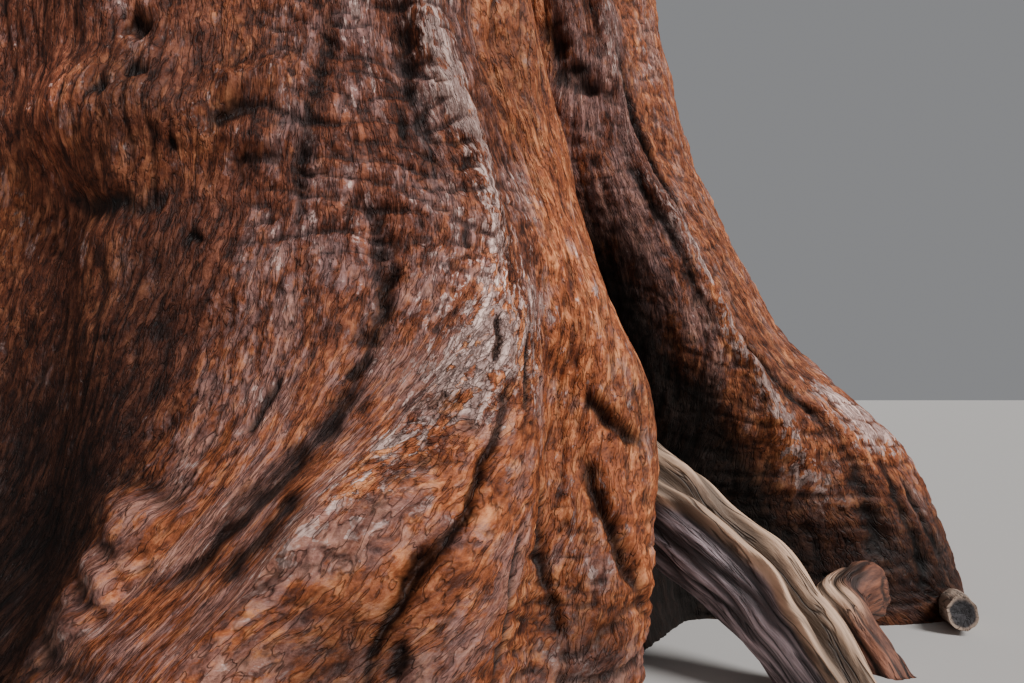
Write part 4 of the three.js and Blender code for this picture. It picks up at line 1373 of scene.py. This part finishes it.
def tubes(paths, radii, sides, ripple=None, squash=1.0, cap=False):
    """Tubes round paths (count, steps, 3), narrowed sideways by squash and closed at the end by
    a cap. Returns points, faces and grain points."""
    paths = np.asarray(paths, float)
    radii = np.asarray(radii)
    count, steps = paths.shape[:2]
    along = unit(np.gradient(paths, axis=1))
    main = unit(paths[:, -1] - paths[:, 0])
    helper = np.where(np.abs(main[:, 2:]) > STEEP, [[1.0, 0, 0]], [[0, 0, 1.0]])[:, None]
    side = unit(np.cross(helper, along))
    other = np.cross(along, side)
    angle = 2 * math.pi * np.arange(sides) / sides
    round_by = np.stack([np.cos(angle), np.sin(angle)], -1)
    ring = side[:, :, None] * squash * round_by[:, :1] + other[:, :, None] * round_by[:, 1:]
    gone = summed(np.linalg.norm(np.diff(paths, axis=1), axis=-1))[..., None, None]
    q = radii.mean(1)[:, None, None, None] * round_by + 0 * gone
    q = np.concatenate([q, gone + 0 * q[..., :1]], -1)
    r = radii[..., None] + 0 * angle
    if ripple is not None:
        r = r + ripple(q, r)
    points = paths[:, :, None] + ring * r[..., None]
    if cap:
        share = np.array(CAP_RINGS)[:, None, None]
        end = paths[0, -1] + along[0, -1] * CAP_DEPTH * (1 - share)
        points = np.concatenate([points[0], end + (points[0, -1] - paths[0, -1]) * share])[None]
        q = np.concatenate([q[0], q[0, -1] * np.concatenate([share, share, 1 + 0 * share], -1)])[None]
        steps += len(CAP_RINGS)
    grid = np.arange(count * steps * sides).reshape(count, steps, sides)
    nxt = np.roll(grid, -1, axis=2)
    faces = np.stack([grid[:, :-1], nxt[:, :-1], nxt[:, 1:], grid[:, 1:]], -1).reshape(-1, 4)
    return points.reshape(-1, 3), faces, q.reshape(-1, 3)


def joined(parts):
    """Points, faces and grain points of several meshes as one."""
    shift = np.cumsum([0] + [len(part[0]) for part in parts[:-1]])
    parts = [(points, faces + start, q) for (points, faces, q), start in zip(parts, shift)]
    return [np.concatenate(columns) for columns in zip(*parts)]


def even_path(points, steps):
    """The same path with its points evenly apart."""
    gone = summed(np.linalg.norm(np.diff(points, axis=0), axis=1)[None])[0]
    at = np.linspace(0, gone[-1], steps)
    return np.stack([np.interp(at, gone, points[:, k]) for k in range(3)], -1)


# Crown plan: where each clump of foliage sits, and the bough that carries it

def outward(azimuth, elevation=0.0):
    flat = math.cos(elevation)
    return np.array([flat * math.cos(azimuth), flat * math.sin(azimuth), math.sin(elevation)])


def turned(points, azimuth):
    c, s = math.cos(azimuth), math.sin(azimuth)
    x, y, z = np.moveaxis(points, -1, 0)
    return np.stack([c * x - s * y, s * x + c * y, z], -1)


def plan_mass(index):
    random = seeded(PLAN_SEED + index)

    def jitter(reach):
        return reach * (2 * random() - 1)

    at_top = index == MASSES - 1
    share = (index / (MASSES - 2)) ** HEIGHT_POWER
    z = TOP_MASS if at_top else LOWEST_MASS + (HIGHEST_MASS - LOWEST_MASS) * share
    azimuth = FIRST_AZIMUTH + GOLDEN_ANGLE * index + jitter(AZIMUTH_JITTER)
    reach = read_table(CROWN, np.array([z]))[0, 0] * (1 + jitter(REACH_JITTER))
    size = (MASS_DEPTH_BASE + MASS_DEPTH_SHARE * reach) * (1 + jitter(SIZE_JITTER))
    depth = TOP_MASS_SIZE if at_top else size
    wide = TOP_MASS_SIZE if at_top else size * MASS_WIDE_SHARE
    tall = min(depth * MASS_TALL_SHARE, HEIGHT - z)
    centre = outward(azimuth) * (0 if at_top else reach - depth) + trunk_middle(z)
    return {
        "index": index, "azimuth": azimuth, "centre": centre, "radii": np.array([depth, wide, tall]),
        "on_trunk": index >= MASSES - TRUNK_MASSES,
    }


def from_unit(mass, points):
    return turned(points * mass["radii"], mass["azimuth"]) + mass["centre"]


def to_unit(mass, points, radii=None):
    """Points in the clump's own frame, where its space is a ball of radius 1."""
    radii = mass["radii"] if radii is None else radii
    return turned(points - mass["centre"], -mass["azimuth"]) / radii


def depth_in(mass, points):
    return np.linalg.norm(to_unit(mass, points), axis=1)


def fit_spaces(masses):
    """Spaces that meet shrink by the same share until they only touch."""
    for _ in range(FITTING_ROUNDS):
        for one, other in itertools.combinations(masses, 2):
            sizes = (one["radii"] + other["radii"]) * SPACE_GAP
            share = np.linalg.norm(to_unit(one, other["centre"], sizes))
            if share < 1:
                one["radii"] = one["radii"] * share
                other["radii"] = other["radii"] * share
    return masses


def plan_bough(mass):
    tip = from_unit(mass, -outward(0, ENTRY_ELEVATION))
    entry = unit(mass["centre"] - tip)
    start = trunk_middle(tip[2] - BOUGH_RISE_SHARE * math.hypot(tip[0], tip[1]))
    length = np.linalg.norm(tip - start)
    leave = start + (tip - start) * BOUGH_SAG_AT - np.array([0, 0, BOUGH_SAG * length])
    approach = tip - entry * ENTRY_PULL * length
    t = np.linspace(0, 1, BOUGH_CURVE_STEPS)[:, None]
    path = (1 - t) ** 3 * start + 3 * (1 - t) ** 2 * t * leave + 3 * (1 - t) * t ** 2 * approach
    foot = BOUGH_RADIUS_BASE + BOUGH_RADIUS_SHARE * length
    return {"path": path + t ** 3 * tip, "foot": foot, "end": foot * BOUGH_TIP_SHARE, "tip": tip}


def bough_radius(bough, t):
    collar = 1 + BOUGH_COLLAR * bell(np.maximum(0, t - BOUGH_COLLAR_AT), BOUGH_COLLAR_LENGTH)
    return (bough["foot"] + (bough["end"] - bough["foot"]) * t) * (collar + (1 - collar) * t)


def build_boughs(boughs):
    parts = []
    for number, bough in enumerate(boughs):
        path = even_path(bough["path"], BOUGH_STEPS)
        radii = bough_radius(bough, np.linspace(0, 1, BOUGH_STEPS))
        outside = np.linalg.norm(path[:, :2] - trunk_middle(path[:, 2])[:, :2], axis=1)
        keep = outside > BOUGH_START_SHARE * mean_radius(path[:, 2])

        def ripple(q, r):
            wave = np.abs(noise(q, RIPPLE_SEED + number, RIPPLE_SCALE))
            return r * RIPPLE_SHARE * (wave - RIPPLE_LEVEL)

        parts.append(tubes(path[None, keep], radii[None, keep], BOUGH_SIDES, ripple))
    points, faces, q = joined(parts)
    names = [f"bough_{number + 1:02d}" for number in range(len(boughs))]
    place(mesh_piece("boughs", points, faces, limb_material("bough_bark"), grain=q), "bark", *names)


# Foliage: branches, twigs and tufts of sprays inside each clump's space

def spread(count, yaw):
    """Directions spread evenly over a ball."""
    i = np.arange(count)
    z = 1 - 2 * (i + 0.5) / count
    angle = yaw + GOLDEN_ANGLE * i
    flat = np.sqrt(1 - z * z)
    return np.stack([flat * np.cos(angle), flat * np.sin(angle), z], -1)


def spray_shape():
    """One spray in its own frame: cords of scale leaves, each a folded blade of two faces."""
    cords = [(0.0, 0.0, 1.0, MAIN_CORD_HALF)]
    for step in range(SIDE_CORDS):
        side = 1 if step % 2 else -1
        at = SIDE_CORD_START + SIDE_CORD_STEP * step
        length = SIDE_CORD_LENGTH - SIDE_CORD_LOSS * step
        cords.append((at, side * SIDE_CORD_ANGLE, length, SIDE_CORD_HALF))
    points, faces = [], []
    for at, angle, length, half in cords:
        base = np.array([at, 0, 0])
        reach = np.array([math.cos(angle), math.sin(angle), CORD_RISE]) * length
        across = np.array([-math.sin(angle), math.cos(angle), 0]) * half
        middle = base + FOLD_AT * reach + np.array([0, 0, FOLD_HEIGHT])
        first = len(points)
        points += [base, middle - across, base + reach, middle + across]
        faces += [[first, first + 1, first + 2], [first, first + 2, first + 3]]
    return np.array(points), np.array(faces)


def grow_sprays(roots, directions, sides, lengths):
    shape, faces = spray_shape()
    axes = np.stack([directions, sides, np.cross(directions, sides)], 1)
    points = roots[:, None] + lengths[:, None, None] * (shape @ axes)
    shift = np.arange(len(roots))[:, None, None] * len(shape)
    return points, (faces + shift).reshape(-1, 3)


def grow_mass(mass, bough):
    """The twigs of one clump, and where its sprays stand."""
    random = np.random.default_rng(GROWTH_SEED + mass["index"])
    centre = mass["centre"]
    tall = mass["radii"][2]
    foot, foot_radius = trunk_middle(centre[2] - TRUNK_STEM_DROP * tall), TRUNK_STEM_RADIUS
    if bough:
        foot, foot_radius = bough["tip"], bough["end"]
    end = foot + (centre - foot) * STEM_SHARE
    taper = 1 - STEM_TAPER * np.linspace(0, 1, STEM_STEPS)
    wood = [tubes([np.linspace(foot, end, STEM_STEPS)], [foot_radius * taper], STEM_SIDES)]
    aims = spread(BRANCHES, 2 * math.pi * random.random())
    start = foot + (end - foot) * (BRANCH_FOOT + BRANCH_FOOT_SPREAD * random.random((BRANCHES, 1)))
    reach = from_unit(mass, aims * BRANCH_REACH)
    t = np.linspace(0, 1, BRANCH_STEPS)[:, None]
    bend = 0.5 * (start + reach) - np.array([0, 0, BRANCH_SAG]) * tall
    paths = (1 - t) ** 2 * start[:, None] + 2 * t * (1 - t) * bend[:, None] + t ** 2 * reach[:, None]
    radii = BRANCH_RADIUS * (1 - BRANCH_TAPER * t[:, 0]) * np.ones((BRANCHES, 1))
    wood.append(tubes(paths, radii, BRANCH_SIDES))
    aim = np.repeat(aims, TWIGS, 0)
    aim = unit(aim + TWIG_SPREAD * random.normal(size=aim.shape))
    twig = np.arange(BRANCHES * TWIGS)
    forks = paths[twig // TWIGS, FIRST_FORK + twig % TWIGS]
    shift = LOBE_SHIFT * random.random(3)
    lobes = 1 + LOBE_DEPTH * noise(aim * LOBE_SCALE + shift, LOBE_SEED)[:, None]
    reach = TWIG_REACH - TWIG_LOSS * random.random((len(aim), 1))
    tips = from_unit(mass, aim * lobes * reach)
    t = np.linspace(0, 1, TWIG_STEPS)[:, None]
    radii = TWIG_RADIUS * (1 - TWIG_TAPER * t[:, 0]) * np.ones((len(aim), 1))
    wood.append(tubes(forks[:, None] + (tips - forks)[:, None] * t, radii, TWIG_SIDES))
    return joined(wood), sprays_of_tufts(mass, aim, forks, tips, random)


def sprays_of_tufts(mass, aims, forks, tips, random):
    """Roots, directions, sides and lengths of the sprays, and how much light each gets."""
    count = len(aims) * TUFT_SPRAYS
    owner = np.arange(count) // TUFT_SPRAYS
    back = SPRAY_REACH_BACK * random.random(count) ** SPRAY_BACK_POWER
    roots = tips[owner] + (forks - tips)[owner] * back[:, None]
    out = unit(turned(aims[owner] / mass["radii"], mass["azimuth"]))
    lean = out + unit(random.normal(size=(count, 3)))
    directions = unit(SPRAY_LEAN * lean + np.array([0, 0, SPRAY_LIFT]))
    lengths = SPRAY_LENGTH_BASE + SPRAY_LENGTH * random.random(count)
    past = (depth_in(mass, roots + directions * lengths[:, None]) - SPACE_EDGE) * mass["radii"].min()
    lengths *= np.clip(1 - past / lengths, SPRAY_LEAST, 1)
    reach = directions * lengths[:, None]
    sides = unit(np.cross(directions, unit(random.normal(size=(count, 3)))))
    away = np.linalg.norm(roots - trunk_middle(roots[:, 2]), axis=1)
    keep = depth_in(mass, roots + reach) <= SPACE_EDGE
    keep &= away > mean_radius(roots[:, 2]) + SPRAY_CLEAR
    lit = depth_in(mass, roots + 0.5 * reach) + LIGHT_UP * out[:, 2]
    lit += LIGHT_JITTER * random.normal(size=count)
    return [values[keep] for values in (roots, directions, sides, lengths, lit)]


# Needles in colours painted from shaded inside to lit outside, by how much light each spray gets
NEEDLES = {
    "needles_shaded": (0.055, 0.090, 0.028),
    "needles_olive": (0.115, 0.165, 0.044),
    "needles_moss": (0.165, 0.230, 0.066),
    "needles_blue": (0.135, 0.205, 0.098),
    "needles_lit": (0.260, 0.335, 0.090),
}


def build_crown():
    masses = fit_spaces([plan_mass(index) for index in range(MASSES)])
    boughs = [plan_bough(mass) for mass in masses if not mass["on_trunk"]]
    build_boughs(boughs)
    names = [f"foliage_{index + 1:02d}" for index in range(MASSES)]
    boughs += [None] * TRUNK_MASSES
    wood, sprays = zip(*(grow_mass(mass, bough) for mass, bough in zip(masses, boughs)))
    points, faces, q = joined(wood)
    place(mesh_piece("twigs", points, faces, limb_material("twig_bark"), grain=q), "bark", *names)
    *stands, lit = (np.concatenate(column) for column in zip(*sprays))
    limits = np.quantile(lit, np.linspace(0, 1, len(NEEDLES) + 1)[1:-1])
    shade = np.searchsorted(limits, lit)
    for number, (name, colour) in enumerate(NEEDLES.items()):
        points, faces = grow_sprays(*(values[shade == number] for values in stands))
        piece = mesh_piece(name, points, faces, needle_material(name, colour))
        place(piece, "needles", *names)


# Roots at the cave

# How much the roots are narrowed sideways, and where along the knee root its knot sits
ROOT_SQUASH = 0.82
KNEE_KNOT = 0.42
# Marks round the bare root, in degrees: half width and middle
ROOT_BELLS = {
    "ridge": (15, 92), "low_ridge": (9, 58), "dip": (11, 118), "dip_shade": (8, 118),
    "pale_ridge": (14, 92),
}
# The ledge that runs along it: mean angle, reach and pace of its wave, what its noise adds, and
# in degrees past it where its form starts and stops and where its pale line runs
LEDGE = (146, 12, 5, 8)
LEDGE_RISE = (-22, 16)
LEDGE_FALL = (0, 8)
LEDGE_PALE = (12, -6)
# Degrees past the ledge from which the flank starts, as a form and as a colour
FLANK = (0, 12)
FLANK_COLOUR = (4, 8)
FULL_RELIEF_RADIUS = 0.1
# Noise on the roots: seed and cells in a metre
ROOT_TURN = (66, (2, 2, 4.5))
ROOT_TURN_SWAY = 9
LEDGE_NOISE = (67, (0.1, 0.1, 7))
LONG_FURROWS = (61, (13, 13, 1.5))
LONG_FURROW_HALF = 0.2
FINE_FURROWS = (62, (40, 40, 4))
FINE_FURROW_HALF = 0.3
ROOT_SWELLS = (70, (5, 5, 6))
KNEE_FURROWS = (68, (15, 15, 5))
KNEE_FURROW_HALF = 0.16
KNEE_SWELLS = (63, (9, 9, 6))
KNEE_GRAIN = (64, (40, 40, 12))
# The knee root's knot, as a colour and as a form: half length, the angle at which it starts and
# how far it takes from there
KNOT_COLOUR = (0.075, 60, 40)
KNOT_BUMP = (0.05, 110, 30)
STUB_GRAIN = (65, (30, 30, 9))
STUB_GRAIN_HEIGHT = 0.006
STUB_EDGE = (69, (30, 30, 0.1))
# The stub's dark heart: where it ends, how that strays, how far it fades, how dark its furrows
STUB_HEART = (0.86, 0.08, 0.12, 0.3)
# Each point is x, y, z and the radius there
BARE_ROOT = [
    (1.18, -.8, .79, .14), (1.38, -1, .605, .165), (1.54, -1.135, .465, .168),
    (1.765, -1.285, .265, .15), (1.85, -1.36, .155, .146), (1.915, -1.415, .05, .14),
    (1.965, -1.455, -.06, .13),
]
KNEE_ROOT = [
    (2.38, -.66, .12, .07), (2.31, -.84, .14, .08), (2.235, -.93, .16, .094),
    (2.16, -.985, .125, .09), (2.165, -1.085, .05, .086), (2.22, -1.25, -.1, .075),
]
CUT_STUB = [(2.72, -.55, .03, .06), (2.67, -.7, .055, .06), (2.617, -.85, .075, .057)]


def smooth_path(rows, steps):
    """A curve through the rows, and on to both ends."""
    t = np.linspace(0, len(rows) - 1, steps)
    knots = np.concatenate([2 * rows[:1] - rows[1:2], rows, 2 * rows[-1:] - rows[-2:-1]])
    i = np.minimum(t.astype(int), len(rows) - 2)
    u = (t - i)[:, None]
    a, b, c, d = (knots[i + k] for k in range(4))
    curve = 0.5 * (2 * b + (c - a) * u + (2 * a - 5 * b + 4 * c - d) * u ** 2)
    return curve + 0.5 * (3 * b - a - 3 * c + d) * u ** 3


def build_root(name, slot, rows, sides, steps, material, ripple, masks, cap=False):
    """A root along its rows. What lies in the ground is left off."""
    rows = np.array(rows)
    if not cap:
        rows = np.concatenate([rows, 2 * rows[-1:] - rows[-2:-1]])
    curve = smooth_path(rows, steps)
    points, faces, q = tubes(curve[None, :, :3], curve[None, :, 3], sides, ripple, ROOT_SQUASH, cap)
    faces = faces[(points[faces][..., 2] > 0).any(1)]
    used, faces = np.unique(faces, return_inverse=True)
    points, q, faces = points[used], q[used], faces.reshape(-1, 4)
    points[:, 2] = np.maximum(points[:, 2], 0)
    piece = mesh_piece(name, points, faces, root_material(material), grain=q, masks=masks(q))
    place(piece, slot, name)


def root_angle(q):
    """Degrees round the root: 0 on the far side, 90 on top, 180 towards the photo's viewer."""
    angle = np.degrees(np.arctan2(q[..., 1], q[..., 0])) + ROOT_TURN_SWAY * noise(q, *ROOT_TURN)
    return np.where(angle < -90, angle + FULL_TURN, angle)


def bare_field(q):
    """What lies where on the bare root."""
    angle = root_angle(q)
    middle, wave, pace, stray = LEDGE
    past = angle - middle - wave * np.sin(pace * q[..., 2]) - stray * noise(q, *LEDGE_NOISE)
    field = {name: bell(angle, *row) for name, row in ROOT_BELLS.items()}
    field["ledge"] = rising(past, *LEDGE_RISE) * falling(past, *LEDGE_FALL)
    field["pale_ledge"] = bell(past, *LEDGE_PALE)
    field["flank"] = rising(past, *FLANK)
    field["flank_colour"] = rising(past, *FLANK_COLOUR)
    field["long"] = bell(noise(q, *LONG_FURROWS), LONG_FURROW_HALF)
    field["fine"] = bell(noise(q, *FINE_FURROWS), FINE_FURROW_HALF)
    field["swells"] = noise(q, *ROOT_SWELLS)
    return field


def root_masks(furrow, flank, pale):
    return np.clip(np.stack([furrow, flank, pale, np.ones_like(pale)], -1), 0, 1)


def wood_ridges(q, r):
    """The bare root's ridge along its top, its ledge below that, and the grooves between."""
    return np.minimum(1, r / FULL_RELIEF_RADIUS) * mask(bare_field(q), "root_height")


def bare_masks(q):
    field = bare_field(q)
    return root_masks(mask(field, "root_furrow"), field["flank_colour"], mask(field, "root_pale"))


def knee_knot(q, half, start, width):
    """The knot on the bend's upper side."""
    return bell(q[..., 2], half, KNEE_KNOT) * rising(root_angle(q), start, width)


def knee_furrows(q):
    return bell(noise(q, *KNEE_FURROWS), KNEE_FURROW_HALF)


def knee_masks(q):
    """The knot is pale and ringed, the rest is red-brown."""
    knot = knee_knot(q, *KNOT_COLOUR)
    # The knee's furrows get painted shade
    return root_masks(knee_furrows(q), 1 - knot, knot)


def knee_lumps(q, r):
    return mask({
        "swells": noise(q, *KNEE_SWELLS), "grain": noise(q, *KNEE_GRAIN),
        "bump": knee_knot(q, *KNOT_BUMP), "furrows": knee_furrows(q),
    }, "knee_height")


def stub_masks(q):
    """The sawn end is dark inside a pale rim."""
    edge, stray, fade, deep = STUB_HEART
    out = np.hypot(q[..., 0], q[..., 1])
    heart = smooth((edge + stray * noise(q, *STUB_EDGE) - out / out.max()) / fade)
    return root_masks(deep * heart, heart, 1 - heart)


def stub_lumps(q, r):
    return STUB_GRAIN_HEIGHT * noise(q, *STUB_GRAIN)


def build_roots():
    """Each row: node, slot, path, sides, steps, material, form, masks, whether its end shows."""
    for row in (
        ("bare_root", "bare_wood", BARE_ROOT, 170, 200, "weathered_wood", wood_ridges, bare_masks),
        ("knee_root", "bark", KNEE_ROOT, 72, 90, "knotted_wood", knee_lumps, knee_masks),
        ("cut_stub", "bare_wood", CUT_STUB, 48, 40, "sawn_wood", stub_lumps, stub_masks, True),
    ):
        build_root(*row)


# Stage

def build_stage():
    half = GROUND_SIZE / 2
    corners = np.array([[-half, -half, 0], [half, -half, 0], [half, half, 0], [-half, half, 0]])
    material = Nodes("pale_floor").finish(FLOOR_COLOUR, FLOOR_ROUGHNESS, None, 0)
    mesh_piece("floor", corners, np.array([[0, 1, 2, 3]]), material)
    world = bpy.data.worlds.new("soft_sky")
    world.use_nodes = True
    sky = world.node_tree.nodes["Background"]
    sky.inputs["Color"].default_value = SKY_COLOUR
    sky.inputs["Strength"].default_value = SKY_STRENGTH
    bpy.context.scene.world = world
    for name, (angles, strength, width) in LIGHTS.items():
        light = bpy.data.lights.new(name, "SUN")
        light.energy = strength
        light.angle = math.radians(width)
        lamp = bpy.data.objects.new(name, light)
        lamp.rotation_euler = [math.radians(angle) for angle in angles]
        bpy.context.scene.collection.objects.link(lamp)


def build_camera():
    lens = bpy.data.cameras.new("camera")
    lens.lens = CAMERA_LENS
    lens.sensor_width = CAMERA_SENSOR
    lens.clip_end = CAMERA_REACH
    camera = bpy.data.objects.new("camera", lens)
    camera.location = CAMERA_PLACE
    camera.rotation_euler = (CAMERA_TILT, 0, 0)
    bpy.context.scene.collection.objects.link(camera)
    bpy.context.scene.camera = camera


build_camera()
build_stage()
build_trunk(bark_material())
build_roots()
build_crown()
